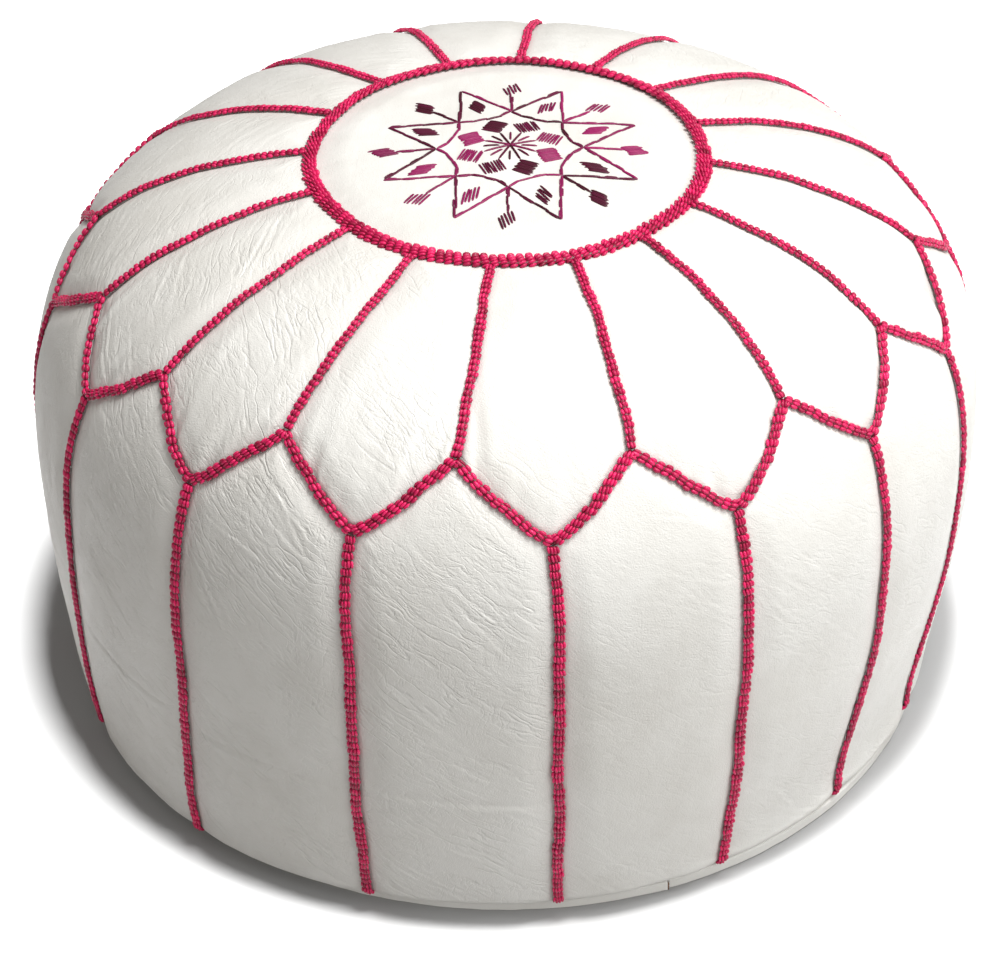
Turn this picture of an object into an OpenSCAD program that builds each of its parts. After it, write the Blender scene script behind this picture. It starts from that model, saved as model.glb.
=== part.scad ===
// Moroccan leather pouf: a stuffed drum of sixteen petals and sixteen side panels,
// braided seams, an embroidered medallion, and a zip in the base.
// The origin is on the floor under the middle of the pouf, and +Z is up.

/* [Body] */
// Radius of the pouf at its widest, over the leather
body_r = 260; // [230:5:300]
// Height of the pouf at the middle of its top
body_h = 326; // [300:2:360]
// Height of the widest part above the floor
waist_z = 150; // [130:5:170]
// How far the side draws in from its widest part to its bottom edge
side_draw = 14; // [8:1:20]
// Roundness of the crown across: higher is fuller at the shoulder
crown_power_r = 3.1; // [2.6:0.1:3.6]
// Roundness of the crown in height: higher is flatter on top
crown_power_z = 2.9; // [2.4:0.1:3.4]
// Thickness of the leather
leather_t = 1.5; // [1.2:0.1:2]
// Gap between two leather pieces under a braid
seam_gap = 0.4; // [0.3:0.1:0.8]

/* [Seams] */
// Radius of the middle of the ring braid around the medallion
ring_r = 104; // [90:1:120]
// Width of the ring braid
ring_w = 8; // [6:0.5:10]
// Height of the ring braid over the leather
ring_h = 3.4; // [2.4:0.2:4]
// Width of the other braids
braid_w = 6; // [4:0.5:7]
// Height of the other braids over the leather
braid_h = 2.6; // [1.6:0.2:3]
// Radius at which the petals' points reach down to
petal_tip_r = 243; // [236:1:248]
// Height of the petals' points
petal_tip_z = 248; // [240:1:256]
// Radius of the notches between two petals
notch_r = 219; // [212:1:224]
// Height of the notches between two petals
notch_z = 278; // [272:1:284]

/* [Embroidery] */
// Radius of the star's points
star_r = 72; // [60:1:76]
// Radius of the star's inner corners
star_inner_r = 39; // [34:1:44]
// Radius of the middle of the arc at the base of each ray
arc_r = 32.5; // [30:0.5:36]
// Angle of the first point of the star from the front seam
star_turn = 27; // [0:1:45]
// Width of one embroidery stitch
stitch_w = 1.2; // [0.8:0.1:1.6]
// Height of an embroidery stitch over the leather
stitch_h = 0.7; // [0.4:0.1:1]

/* [Base] */
// Height of the leather band around the base
band_h = 7.2; // [6:0.2:12]
// Thickness of the folded band
band_t = 4; // [3:0.5:5]
// Direction of the band's joint, from the front seam
band_joint_turn = 26; // [10:1:80]

/* [Zip] */
// Half of the length of the toothed chain
chain_half = 150; // [120:5:160]
// Distance between two teeth of one side
tooth_pitch = 2.8; // [2.4:0.2:3.4]
// Length of the pull tab from its pin
tab_len = 26; // [20:1:32]

/* [Hidden] */
$fn = 180;
PANELS = 16;
pitch = 360 / PANELS;
reach = 400;

// The hem is where a side panel turns under, over the top of the band.
hem_z = band_h + 0.4;
hem_r = 8;
hem_centre_r = body_r - side_draw - hem_r;
band_out_r = hem_centre_r + 1.5;
band_in_r = band_out_r - band_t;
base_r = band_in_r - 0.3;

// The zip lies in a pocket that the base leather folds up into.
pocket_half = chain_half + 18;
pocket_foot = 24;
pocket_step = 12;
slot_half = 6.5;
ledge_z = 5.2;
tape_t = 0.8;
zip_z = ledge_z + leather_t + 0.1 + tape_t / 2;
tape_gap = 1.5;
tape_out = 15;
tooth_reach = 2.9;
tooth_half_t = 1.2;
slider_back = chain_half - 3;
slider_len = 12;
slider_half_t = 2.4;
pin_x = slider_back + 5;
pin_z = zip_z - slider_half_t - 1.4;
pin_r = 0.7;
pin_play = 0.05;

thread_pink = [0.78, 0.10, 0.33];
thread_plum = [0.45, 0.08, 0.30];
leather_white = [0.90, 0.89, 0.86];

function name_no(stem, i) = str(stem, i < 10 ? "_0" : "_", i);

// ---- Outline of the leather's outer face, as [radius, height] from the hem to the top ----

function hem_point(a) = [hem_centre_r + hem_r * cos(a), hem_z + hem_r + hem_r * sin(a)];
function side_point(z) =
    [body_r - side_draw * pow((waist_z - z) / (waist_z - hem_z - hem_r), 2), z];
function crown_point(a) =
    [body_r * pow(cos(a), 2 / crown_power_r),
     waist_z + (body_h - waist_z) * pow(sin(a), 2 / crown_power_z)];

side_steps = 5;
side_rise = (waist_z - hem_z - hem_r) / side_steps;
outline = concat(
    [for (a = [-90:30:-1]) hem_point(a)],
    [for (i = [0:side_steps]) side_point(hem_z + hem_r + i * side_rise)],
    [for (a = [6:7:83]) crown_point(a)],
    [[0, body_h]]);
last = len(outline) - 1;

// Direction out of the leather at one point of the outline.
function turn_out(d) = [d[1], -d[0]] / norm(d);
function out_at(i) =
    i == 0 ? [0, -1] :
    i == last ? [0, 1] :
    turn_out(outline[i + 1] - outline[i - 1]);

// The outline moved out of the leather by d, or into it where d is negative.
function skin(d) = [for (i = [0:last]) outline[i] + d * out_at(i)];
function backwards(list) = [for (i = [len(list) - 1:-1:0]) list[i]];

// A layer of revolution between two depths of the skin.
module skin_layer(low, high) {
    rotate_extrude()
        polygon(concat(skin(high), backwards(skin(low))));
}

// One panel's sector, centred on +X, its two faces moved in by trim.
module sector(trim) {
    apex = trim / sin(pitch / 2);
    translate([apex, 0, -10])
        linear_extrude(reach)
            polygon([[0, 0],
                     [reach * cos(pitch / 2), reach * sin(pitch / 2)],
                     [reach * cos(pitch / 2), -reach * sin(pitch / 2)]]);
}

// ---- The V that ends a petal, cut square to the leather at the zigzag ----

mid_rise = notch_z - petal_tip_z;
mid_run = petal_tip_r - notch_r * cos(pitch / 2);
lean = atan2(mid_run, mid_rise);

// Distance down the lean of a point at radius r and height z.
function down_lean(r, z) = r * sin(lean) - z * cos(lean);

tip_down = down_lean(petal_tip_r, petal_tip_z);
notch_down = down_lean(notch_r * cos(pitch / 2), notch_z);
vee_slope = (tip_down - notch_down) / (notch_r * sin(pitch / 2));

// Everything above the V of the petal centred on +X, with the V moved down by grow.
module above_vee(grow) {
    tip = tip_down + grow * norm([1, vee_slope]);
    arm = 90;
    rotate([0, 90 - lean, 0])
        linear_extrude(reach)
            polygon([[tip, 0],
                     [tip - arm * vee_slope, arm],
                     [-reach, arm],
                     [-reach, -arm],
                     [tip - arm * vee_slope, -arm]]);
}

module around_z(r, low, high) {
    translate([0, 0, low])
        cylinder(h = high - low, r = r);
}

// ---- Leather pieces ----

module petal(i) {
    color(leather_white)
        rotate([0, 0, -90 + (i - 0.5) * pitch])
            difference() {
                intersection() {
                    skin_layer(-leather_t, 0);
                    sector(seam_gap / 2);
                    above_vee(-seam_gap / 2);
                }
                around_z(ring_r + seam_gap / 2, waist_z, body_h + 10);
            }
}

module side_panel(i) {
    color(leather_white)
        rotate([0, 0, -90 + (i - 1) * pitch])
            difference() {
                intersection() {
                    skin_layer(-leather_t, 0);
                    sector(seam_gap / 2);
                }
                for (side = [-1, 1])
                    rotate([0, 0, side * pitch / 2])
                        above_vee(seam_gap / 2);
            }
}

module top_medallion() {
    color(leather_white)
        intersection() {
            skin_layer(-leather_t, 0);
            around_z(ring_r - seam_gap / 2, waist_z, body_h + 10);
        }
}

// ---- Braids ----

braid_low = 0.1;

module medallion_ring_braid() {
    color(thread_pink)
        intersection() {
            skin_layer(braid_low, ring_h);
            difference() {
                around_z(ring_r + ring_w / 2, waist_z, reach);
                around_z(ring_r - ring_w / 2, waist_z - 1, reach + 1);
            }
        }
}

// A straight wall over the +X half of the pouf, as wide as a braid.
module braid_wall(from_r, to_r, low, high) {
    translate([from_r, -braid_w / 2, low])
        cube([to_r - from_r, braid_w, high - low]);
}

module radial_seam_braids() {
    color(thread_pink)
        for (i = [1:PANELS])
            rotate([0, 0, -90 + (i - 1) * pitch])
                intersection() {
                    skin_layer(braid_low, braid_h);
                    braid_wall(ring_r + ring_w / 2 + 0.3, notch_r - 3.4, waist_z, reach);
                }
}

// One V of braid under each petal, from notch to notch.
module zigzag_seam_braids() {
    color(thread_pink)
        for (i = [1:PANELS])
            rotate([0, 0, -90 + (i - 0.5) * pitch])
                intersection() {
                    skin_layer(braid_low, braid_h);
                    difference() {
                        above_vee(braid_w / 2);
                        above_vee(-braid_w / 2);
                    }
                    sector(seam_gap / 4);
                }
}

module side_seam_braids() {
    color(thread_pink)
        for (i = [1:PANELS])
            rotate([0, 0, -90 + (i - 0.5) * pitch])
                intersection() {
                    skin_layer(braid_low, braid_h);
                    braid_wall(hem_centre_r + 4, body_r + 10, hem_z, petal_tip_z - 4);
                }
}

// ---- Embroidery, drawn flat and laid on the medallion ----

STAR_POINTS = 8;
star_step = 360 / STAR_POINTS;
star_middle = [2.3, 1.9];
star_reach = 0.075;

function point_turn(k) = -90 + star_turn + k * star_step;
function corner_turn(k) = point_turn(k) - star_step / 2;

// Point [u, v] of a motif, u out from the middle and v to the left, turned to face turn.
function facing(turn, p) =
    [p[0] * cos(turn) - p[1] * sin(turn), p[0] * sin(turn) + p[1] * cos(turn)];

// Where the hand put a point: the whole star sits off centre and reaches further to the front.
function drawn(p) = star_middle + p + [0, -star_reach * norm(p)];

// One straight stitch from p to q.
module stitch(p, q) {
    start = drawn(p);
    d = drawn(q) - start;
    translate(start)
        rotate(atan2(d[1], d[0]))
            translate([0, -stitch_w / 2])
                square([norm(d), stitch_w]);
}

// A run of stitches from p to q with small gaps between them.
module stitch_run(p, q, count) {
    gap = 0.5;
    d = q - p;
    for (i = [0:count - 1]) {
        start = i / count + gap / norm(d) / 2;
        end = (i + 1) / count - gap / norm(d) / 2;
        stitch(p + d * start, p + d * end);
    }
}

// Parallel slanted stitches, their middles spread evenly from one point to another.
module stitch_block(turn, first, last, count, length, slant) {
    half = length / 2 * [cos(slant), sin(slant)];
    for (i = [0:count - 1]) {
        middle = first + (last - first) * i / (count - 1);
        stitch(facing(turn, middle - half), facing(turn, middle + half));
    }
}

module on_medallion() {
    color(thread_plum)
        intersection() {
            skin_layer(0.05, stitch_h);
            translate([0, 0, waist_z])
                linear_extrude(reach)
                    children();
        }
}

// Each ray's base is a shallow arc that dips towards the middle of the star.
module star_outline_stitches() {
    on_medallion()
        for (k = [0:STAR_POINTS - 1]) {
            turn = point_turn(k);
            point = facing(turn, [star_r, 0]);
            middle = facing(turn, [arc_r, 0]);
            for (side = [-1, 1]) {
                corner = facing(turn + side * star_step / 2, [star_inner_r, 0]);
                stitch_run(corner, point, 4);
                stitch_run(corner, middle, 2);
            }
        }
}

module star_ray_stitches() {
    on_medallion()
        for (k = [0:STAR_POINTS - 1])
            stitch_block(point_turn(k), [52.5, -3], [46, 2], 5, 13.5, 15);
}

module rosette_stitches() {
    on_medallion()
        for (k = [0:STAR_POINTS - 1])
            stitch_block(point_turn(k), [26.2, -3.7], [18.8, 3.7], 7, 11.2, 45);
}

module starburst_stitches() {
    on_medallion()
        for (k = [0:STAR_POINTS - 1]) {
            long = point_turn(k);
            short = corner_turn(k);
            stitch(facing(long, [2.5, 0]), facing(long, [13.2, 0]));
            stitch(facing(short, [7, 0]), facing(short, [14.5, 0]));
        }
}

module plume_stitches() {
    on_medallion()
        for (k = [0:STAR_POINTS - 1]) {
            turn = corner_turn(k);
            stem = facing(turn, [star_inner_r + 1.5, 0]);
            stitch_run(stem, facing(turn, [57.5, 0]), 2);
            stitch_block(turn, [69.5, -3], [64, 3], 5, 12.5, 14);
        }
}

// ---- Base ----

module base_band() {
    color(leather_white)
        difference() {
            around_z(band_out_r, 0, band_h);
            around_z(band_in_r, -1, band_h + 1);
            rotate([0, 0, -90 + band_joint_turn])
                translate([0, -seam_gap / 2, -1])
                    cube([reach, seam_gap, band_h + 2]);
        }
}

// Thread over the band's joint: three upright stitches, one above the other.
module band_joint_stitch() {
    thread_r = 0.45;
    count = 3;
    rise = (band_h - 2) / count;
    color([0.42, 0.27, 0.16])
        rotate([0, 0, -90 + band_joint_turn])
            for (i = [0:count - 1])
                translate([band_out_r + thread_r + 0.05, 0, 1.2 + i * rise])
                    cylinder(h = rise - 0.4, r = thread_r);
}

// Cross-section of the base leather beside the zip: up the pocket's side and in to the slot.
pocket_edge = [[pocket_foot, 0], [pocket_foot, leather_t],
               [pocket_step + 0.4, ledge_z + leather_t], [slot_half, ledge_z + leather_t],
               [slot_half, ledge_z], [pocket_step, ledge_z]];

module pocket_plan(half_w) {
    square([2 * pocket_half, 2 * half_w], center = true);
    for (side = [-1, 1])
        translate([side * pocket_half, 0])
            circle(r = half_w);
}

module half_base() {
    color(leather_white)
        union() {
            linear_extrude(leather_t)
                intersection() {
                    difference() {
                        circle(r = base_r);
                        pocket_plan(pocket_foot);
                    }
                    translate([-reach, seam_gap / 2])
                        square([2 * reach, reach]);
                }
            rotate([90, 0, 90])
                translate([0, 0, -pocket_half])
                    linear_extrude(2 * pocket_half)
                        polygon(pocket_edge);
            for (side = [0, 1])
                mirror([side, 0, 0])
                    translate([pocket_half, 0, 0])
                        intersection() {
                            rotate_extrude()
                                polygon(pocket_edge);
                            translate([0, seam_gap / 2, 0])
                                cube(pocket_foot * 2);
                        }
        }
}

module base_panel_back() {
    half_base();
}

module base_panel_front() {
    mirror([0, 1, 0])
        half_base();
}

// Stitches inside the pouf that join the two base halves beyond the ends of the zip.
module base_seam_stitches() {
    step = 5;
    first = pocket_half + pocket_foot + 4;
    color(thread_pink)
        for (side = [-1, 1], x = [first:step:base_r - 5])
            translate([side * x - 0.5, -3, leather_t + 0.05])
                cube([1, 6, 0.5]);
}

// ---- Zip ----

module zipper_tape() {
    color("ivory")
        translate([-pocket_half - 4, tape_gap, zip_z - tape_t / 2])
            cube([2 * pocket_half + 8, tape_out - tape_gap, tape_t]);
}

module zipper_tape_back() {
    zipper_tape();
}

module zipper_tape_front() {
    mirror([0, 1, 0])
        zipper_tape();
}

// The teeth of one side, each gripping the edge of its tape.
module zipper_teeth(shift) {
    thick = tooth_pitch / 2 - 0.2;
    cross = 0.9;
    grip = tape_t / 2 + 0.02;
    color("goldenrod")
        difference() {
            for (x = [-chain_half + shift:tooth_pitch:chain_half - thick])
                translate([x, -cross, zip_z - tooth_half_t])
                    cube([thick, cross + tooth_reach, 2 * tooth_half_t]);
            translate([-reach, tape_gap - 0.02, zip_z - grip])
                cube([2 * reach, tape_out, 2 * grip]);
        }
}

module zipper_teeth_back() {
    zipper_teeth(0);
}

module zipper_teeth_front() {
    mirror([0, 1, 0])
        zipper_teeth(tooth_pitch / 2);
}

// A metal clamp around the edge of the back tape.
module tape_clamp(x, length, inner_y) {
    grip = tape_t / 2 + 0.02;
    difference() {
        translate([x, inner_y, zip_z - tooth_half_t])
            cube([length, tooth_reach - inner_y, 2 * tooth_half_t]);
        translate([x - 1, tape_gap - 0.02, zip_z - grip])
            cube([length + 2, tape_out, 2 * grip]);
    }
}

module zipper_top_stops() {
    color("goldenrod")
        for (side = [0, 1])
            mirror([0, side, 0])
                tape_clamp(chain_half + 1.5, 3, tape_gap - 0.3);
}

module zipper_bottom_stop() {
    color("goldenrod")
        for (side = [0, 1])
            mirror([0, side, 0])
                tape_clamp(-chain_half - 5.5, 4, 0);
}

// Two rows of thread dashes that hold the tapes to the base leather.
module zipper_stitches() {
    thread_r = 0.4;
    dash = 3;
    step = 4.6;
    color("ivory")
        for (side = [-1, 1], x = [-pocket_half:step:pocket_half - dash])
            translate([x, side * (slot_half + 2.7), ledge_z - thread_r - 0.05])
                rotate([0, 90, 0])
                    cylinder(h = dash, r = thread_r);
}

// A plate seen from above, narrow at the back and wide at the mouth.
module slider_plan() {
    back_half = 3.7;
    mouth_half = 4.6;
    polygon([[0, -back_half], [slider_len, -mouth_half],
             [slider_len, mouth_half], [0, back_half]]);
}

module zipper_slider() {
    inner_half_t = 1.5;
    lip_half_gap = 0.6;
    channel_half = 3.3;
    lug_in = 1.6;
    lug_t = 1;
    color("goldenrod") {
        translate([slider_back, 0, 0])
            difference() {
                translate([0, 0, zip_z - slider_half_t])
                    linear_extrude(2 * slider_half_t)
                        slider_plan();
                difference() {
                    translate([-1, -channel_half, zip_z - inner_half_t])
                        cube([slider_len + 2, 2 * channel_half, 2 * inner_half_t]);
                    translate([slider_len - 3.5, -1, 0])
                        cube([3, 2, zip_z * 2]);
                }
                for (side = [-1, 1])
                    translate([-1, side * (channel_half + 1.6) - 2, zip_z - lip_half_gap])
                        cube([slider_len + 2, 4, 2 * lip_half_gap]);
            }
        for (side = [-1, 1])
            translate([pin_x, side * (lug_in + lug_t / 2), 0])
                union() {
                    translate([0, lug_t / 2, pin_z])
                        rotate([90, 0, 0])
                            cylinder(h = lug_t, r = 1.3);
                    translate([-1.3, -lug_t / 2, pin_z])
                        cube([2.6, lug_t, zip_z - slider_half_t - pin_z + 0.2]);
                }
        translate([pin_x, lug_in + 0.2, pin_z])
            rotate([90, 0, 0])
                cylinder(h = 2 * (lug_in + 0.2), r = pin_r);
    }
}

module zipper_pull_tab() {
    neck_half = 1.4;
    tab_t = 1;
    tab_half_w = 4;
    eye_r = 1.15;
    color("goldenrod")
        translate([pin_x, 0, pin_z])
            difference() {
                union() {
                    rotate([90, 0, 0])
                        translate([0, 0, -neck_half])
                            cylinder(h = 2 * neck_half, r = eye_r);
                    translate([-5, -neck_half, -tab_t / 2])
                        cube([5, 2 * neck_half, tab_t]);
                    translate([0, 0, -tab_t / 2])
                        linear_extrude(tab_t) {
                            translate([-tab_len + tab_half_w, -tab_half_w])
                                square([tab_len - tab_half_w - 4, 2 * tab_half_w]);
                            translate([-tab_len + tab_half_w, 0])
                                circle(r = tab_half_w);
                        }
                }
                rotate([90, 0, 0])
                    translate([0, 0, -5])
                        cylinder(h = 10, r = pin_r + pin_play);
                translate([-tab_len + tab_half_w, 0, -5])
                    cylinder(h = 10, r = 1.8);
            }
}

// ---- What the leather holds ----

// The room inside the leather, with its walls moved in by d, and the zip's pocket taken out.
module inside(d) {
    pocket_top = zip_z + slider_half_t + 0.6;
    difference() {
        rotate_extrude()
            polygon(concat([[0, leather_t + d], [band_in_r - d, leather_t + d]],
                           [[band_in_r - d, hem_z + leather_t + d]],
                           skin(-leather_t - d)));
        translate([0, 0, -1])
            linear_extrude(1 + pocket_top + d)
                pocket_plan(pocket_foot + 1 + d);
    }
}

module liner_bag() {
    color("linen")
        difference() {
            inside(0.9);
            inside(1.7);
        }
}

module stuffing() {
    color("whitesmoke")
        inside(2);
}

// ---- Nodes ----

for (i = [1:PANELS]) {
    petal(i);
    side_panel(i);
}
top_medallion();
star_outline_stitches();
star_ray_stitches();
rosette_stitches();
starburst_stitches();
plume_stitches();
medallion_ring_braid();
radial_seam_braids();
zigzag_seam_braids();
side_seam_braids();
base_band();
band_joint_stitch();
base_panel_front();
base_panel_back();
base_seam_stitches();
zipper_tape_front();
zipper_tape_back();
zipper_teeth_front();
zipper_teeth_back();
zipper_top_stops();
zipper_bottom_stop();
zipper_stitches();
zipper_slider();
zipper_pull_tab();
liner_bag();
stuffing();
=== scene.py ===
"""The looks of the Moroccan leather pouf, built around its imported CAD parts."""

import math

import bpy
import numpy as np
from mathutils import Matrix, Vector


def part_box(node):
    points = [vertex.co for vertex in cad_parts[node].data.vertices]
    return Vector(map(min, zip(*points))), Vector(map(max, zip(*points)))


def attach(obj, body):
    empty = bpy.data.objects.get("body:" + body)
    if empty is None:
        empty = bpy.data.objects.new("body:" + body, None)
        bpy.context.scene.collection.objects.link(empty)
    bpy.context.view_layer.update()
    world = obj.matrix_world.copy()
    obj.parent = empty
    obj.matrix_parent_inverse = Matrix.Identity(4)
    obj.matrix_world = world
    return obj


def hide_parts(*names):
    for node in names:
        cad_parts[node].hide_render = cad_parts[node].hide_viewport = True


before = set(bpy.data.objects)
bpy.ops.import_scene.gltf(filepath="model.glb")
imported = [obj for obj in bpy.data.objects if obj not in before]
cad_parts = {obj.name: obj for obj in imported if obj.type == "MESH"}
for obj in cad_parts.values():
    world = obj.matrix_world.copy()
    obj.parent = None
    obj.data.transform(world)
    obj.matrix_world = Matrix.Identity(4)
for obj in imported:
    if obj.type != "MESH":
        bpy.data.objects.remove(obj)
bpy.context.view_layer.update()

# ---- Sizes, in metres ----

MM = 0.001
PANELS = 16
PITCH = 2 * math.pi / PANELS
FRONT = -math.pi / 2
BODY_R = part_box("side_panel_05")[1].x
BODY_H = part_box("top_medallion")[1].z
WAIST_Z = 0.150
SIDE_DRAW = 0.014
CROWN_POWER_R = 3.1
CROWN_POWER_Z = 2.9
LEATHER_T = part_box("side_panel_05")[1].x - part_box("stuffing")[1].x - 2 * MM
BAND_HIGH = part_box("base_band")[1]
HEM_R = 0.008
HEM_Z = BAND_HIGH.z + 0.4 * MM
HEM_CENTRE = BODY_R - SIDE_DRAW - HEM_R
RING_W = 0.008
RING_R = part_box("medallion_ring_braid")[1].x - RING_W / 2
NOTCH_R = 0.219
TIP_R = 0.243
SAG = 6 * MM
SAG_TURN = math.radians(-136)
TUCK = 9 * MM
TUCK_TURN = math.radians(-30)

# The medallion is sewn a little off the middle of the top, and turned.
MEDALLION_OFF = 5 * MM
MEDALLION_OFF_TURN = math.radians(-50)
MEDALLION_TWIST = 2.5 * MM
# The seams are dragged round where the cover is pulled: at the right, the back left and the front left.
PULL_SPREAD = math.radians(30)
RIGHT_PULL, BACK_LEFT_PULL, FRONT_LEFT_PULL = np.radians((-10, 170, -145))
HAND_SEWN = 1.2 * MM
SEAM_WANDER = 0.75 * MM
SEAM_SINK = 1.6 * MM

rng = np.random.default_rng(16)


# ---- Outline of the cover ----


def outline():
    """Rows of radius and height along the seams' outline, from the hem to the middle of the top."""
    turn = np.radians(np.linspace(-90, 0, 19))
    hem = np.stack([HEM_CENTRE + HEM_R * np.cos(turn), HEM_Z + HEM_R + HEM_R * np.sin(turn)], 1)
    side_z = np.linspace(HEM_Z + HEM_R, WAIST_Z, 60)[1:]
    draw = (WAIST_Z - side_z) / (WAIST_Z - HEM_Z - HEM_R)
    side = np.stack([BODY_R - SIDE_DRAW * draw**2, side_z], 1)
    rise = np.radians(90) * np.linspace(0, 1, 240)[1:] ** 1.3
    crown_r = BODY_R * np.clip(np.cos(rise), 0, 1) ** (2 / CROWN_POWER_R)
    crown_z = WAIST_Z + (BODY_H - WAIST_Z) * np.sin(rise) ** (2 / CROWN_POWER_Z)
    return np.concatenate([hem, side, np.stack([crown_r, crown_z], 1)])


OUTLINE = outline()
STEPS = np.hypot(*np.diff(OUTLINE, axis=0).T)
ALONG = np.concatenate([[0], np.cumsum(STEPS)])
TANGENT = np.stack([np.gradient(OUTLINE[:, 0], ALONG), np.gradient(OUTLINE[:, 1], ALONG)], 1)
TANGENT /= np.linalg.norm(TANGENT, axis=1)[:, None]
TOP_S = ALONG[-1]


def off_round(turn, z):
    """How far the foot of the cover sags out at the front left and draws in at the right."""
    from_sag = (turn - SAG_TURN + math.pi) % (2 * math.pi) - math.pi
    from_tuck = (turn - TUCK_TURN + math.pi) % (2 * math.pi) - math.pi
    sag = SAG * np.exp(-((from_sag / math.radians(34)) ** 2) - (z / 0.070) ** 2)
    rise = np.maximum(z, 0) / 0.045
    return sag - TUCK * np.exp(-((from_tuck / math.radians(32)) ** 2)) * rise * np.exp(1 - rise)


def skin(turn, s, d=0.0):
    """Points on the cover: turn is the angle around it, s the way up the outline, d the height off it."""
    r = np.interp(s, ALONG, OUTLINE[:, 0]) + d * np.interp(s, ALONG, TANGENT[:, 1])
    z = np.interp(s, ALONG, OUTLINE[:, 1]) - d * np.interp(s, ALONG, TANGENT[:, 0])
    r = r + off_round(turn, z)
    x, y = r * np.cos(turn), r * np.sin(turn)
    return np.stack([x, y, np.broadcast_to(z, x.shape)], -1)


def s_at_radius(r):
    """The way up the outline where the crown has this radius."""
    top = ALONG > np.interp(WAIST_Z, OUTLINE[:, 1], ALONG)
    return np.interp(-np.asarray(r, float), -OUTLINE[top, 0], ALONG[top])


def radius_at(s):
    return np.interp(s, ALONG, OUTLINE[:, 0])


S_RING = float(s_at_radius(RING_R))
S_NOTCH = float(s_at_radius(NOTCH_R))
S_TIP = float(s_at_radius(TIP_R))


# ---- Noise ----


def hashed(cell, seed):
    """A number from 0 to 1 for each cell of a lattice."""
    c = cell.astype(np.uint64)
    h = c[..., 0] * np.uint64(73856093) ^ c[..., 1] * np.uint64(19349663) ^ c[..., 2] * np.uint64(83492791)
    h = (h + np.uint64(seed * 7919 + 1)) * np.uint64(0x9E3779B97F4A7C15)
    h ^= h >> np.uint64(29)
    h *= np.uint64(0xBF58476D1CE4E5B9)
    h ^= h >> np.uint64(32)
    return (h & np.uint64(0xFFFFFF)).astype(float) / 0xFFFFFF


def noise(points, scale, seed=0):
    """Smooth noise from -1 to 1, with features about 1 / scale apart. scale may differ by axis."""
    q = points * scale + 1000.0
    cell = np.floor(q).astype(np.int64)
    f = q - cell
    w = f * f * f * (f * (f * 6 - 15) + 10)
    total = np.zeros(q.shape[:-1])
    for corner in np.ndindex(2, 2, 2):
        side = np.array(corner)
        weight = np.prod(np.where(side, w, 1 - w), axis=-1)
        total += weight * hashed(cell + side, seed)
    return total * 2 - 1


def ridges(points, scale, seed=0):
    """Thin raised lines where the noise crosses zero, from 0 to 1."""
    return (1 - np.abs(noise(points, scale, seed))) ** 4


def ease(x):
    """Smooth step from 0 to 1."""
    x = np.clip(x, 0, 1)
    return x * x * (3 - 2 * x)


# ---- The network of seams, in turn and way up ----

turns = FRONT + PITCH * np.arange(PANELS)


def dragged(turn, radius, pulls):
    """Turns moved round by pulls, each a place and its distance, and by uneven hand sewing."""
    moved = unevenness.normal(0, HAND_SEWN, len(turn))
    for place, distance in pulls:
        away = (turn - place + math.pi) % (2 * math.pi) - math.pi
        moved = moved + distance * np.exp(-((away / PULL_SPREAD) ** 2))
    return turn + moved / radius


unevenness = np.random.default_rng(5)
tip_turns = turns + PITCH / 2
notches = np.stack([
    dragged(turns, NOTCH_R, ((RIGHT_PULL, -4 * MM), (BACK_LEFT_PULL, 12 * MM))),
    S_NOTCH + unevenness.normal(0, HAND_SEWN, PANELS)], 1)
tips = np.stack([
    dragged(tip_turns, TIP_R, ((RIGHT_PULL, -8 * MM), (BACK_LEFT_PULL, 6 * MM))),
    S_TIP + unevenness.normal(0, HAND_SEWN, PANELS)], 1)
hem_turns = dragged(tip_turns, HEM_CENTRE, ((RIGHT_PULL, -22 * MM), (FRONT_LEFT_PULL, -24 * MM)))
ring_turns = turns + (MEDALLION_TWIST + MEDALLION_OFF * np.sin(MEDALLION_OFF_TURN - turns)) / RING_R
wander_phase = rng.uniform(0, 2 * math.pi, (4 * PANELS, 3))


def wander(t, which):
    """A gentle sideways wobble along a seam, nought at its ends."""
    phase = wander_phase[which]
    wobble = np.sin(5 * t + phase[0]) + 0.6 * np.sin(11 * t + phase[1]) + 0.35 * np.sin(23 * t + phase[2])
    return SEAM_WANDER * wobble * np.sqrt(np.clip(np.sin(math.pi * t), 0, 1))


def ring_s(turn):
    """The way up the outline of the middle of the ring braid, at each turn."""
    return S_RING - MEDALLION_OFF * np.cos(np.asarray(turn) - MEDALLION_OFF_TURN)


def unwrapped(k, table):
    """Row k of a table of seam points, with its turn counted on past a full circle."""
    point = np.array(table[k % PANELS], float)
    point[0] += 2 * math.pi * (k // PANELS)
    return point


def radial_seam(k, t):
    """Radial seam k from the ring, t = 0, to its notch, t = 1."""
    start = unwrapped(k, np.stack([ring_turns, ring_s(ring_turns)], 1))
    line = start + np.outer(t, unwrapped(k, notches) - start)
    line[:, 0] += wander(t, k % PANELS) / radius_at(line[:, 1])
    return line


def side_seam(j, t):
    """Side seam j from the tip of petal j, t = 0, down to the hem, t = 1."""
    start = unwrapped(j, tips)
    end = np.array([hem_turns[j % PANELS] + 2 * math.pi * (j // PANELS), 0.0])
    line = start + np.outer(t, [0, end[1] - start[1]])
    line[:, 0] += (end[0] - start[0]) * t**1.5
    line[:, 0] += 1.5 * wander(t, PANELS + j % PANELS) / radius_at(line[:, 1])
    return line


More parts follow.
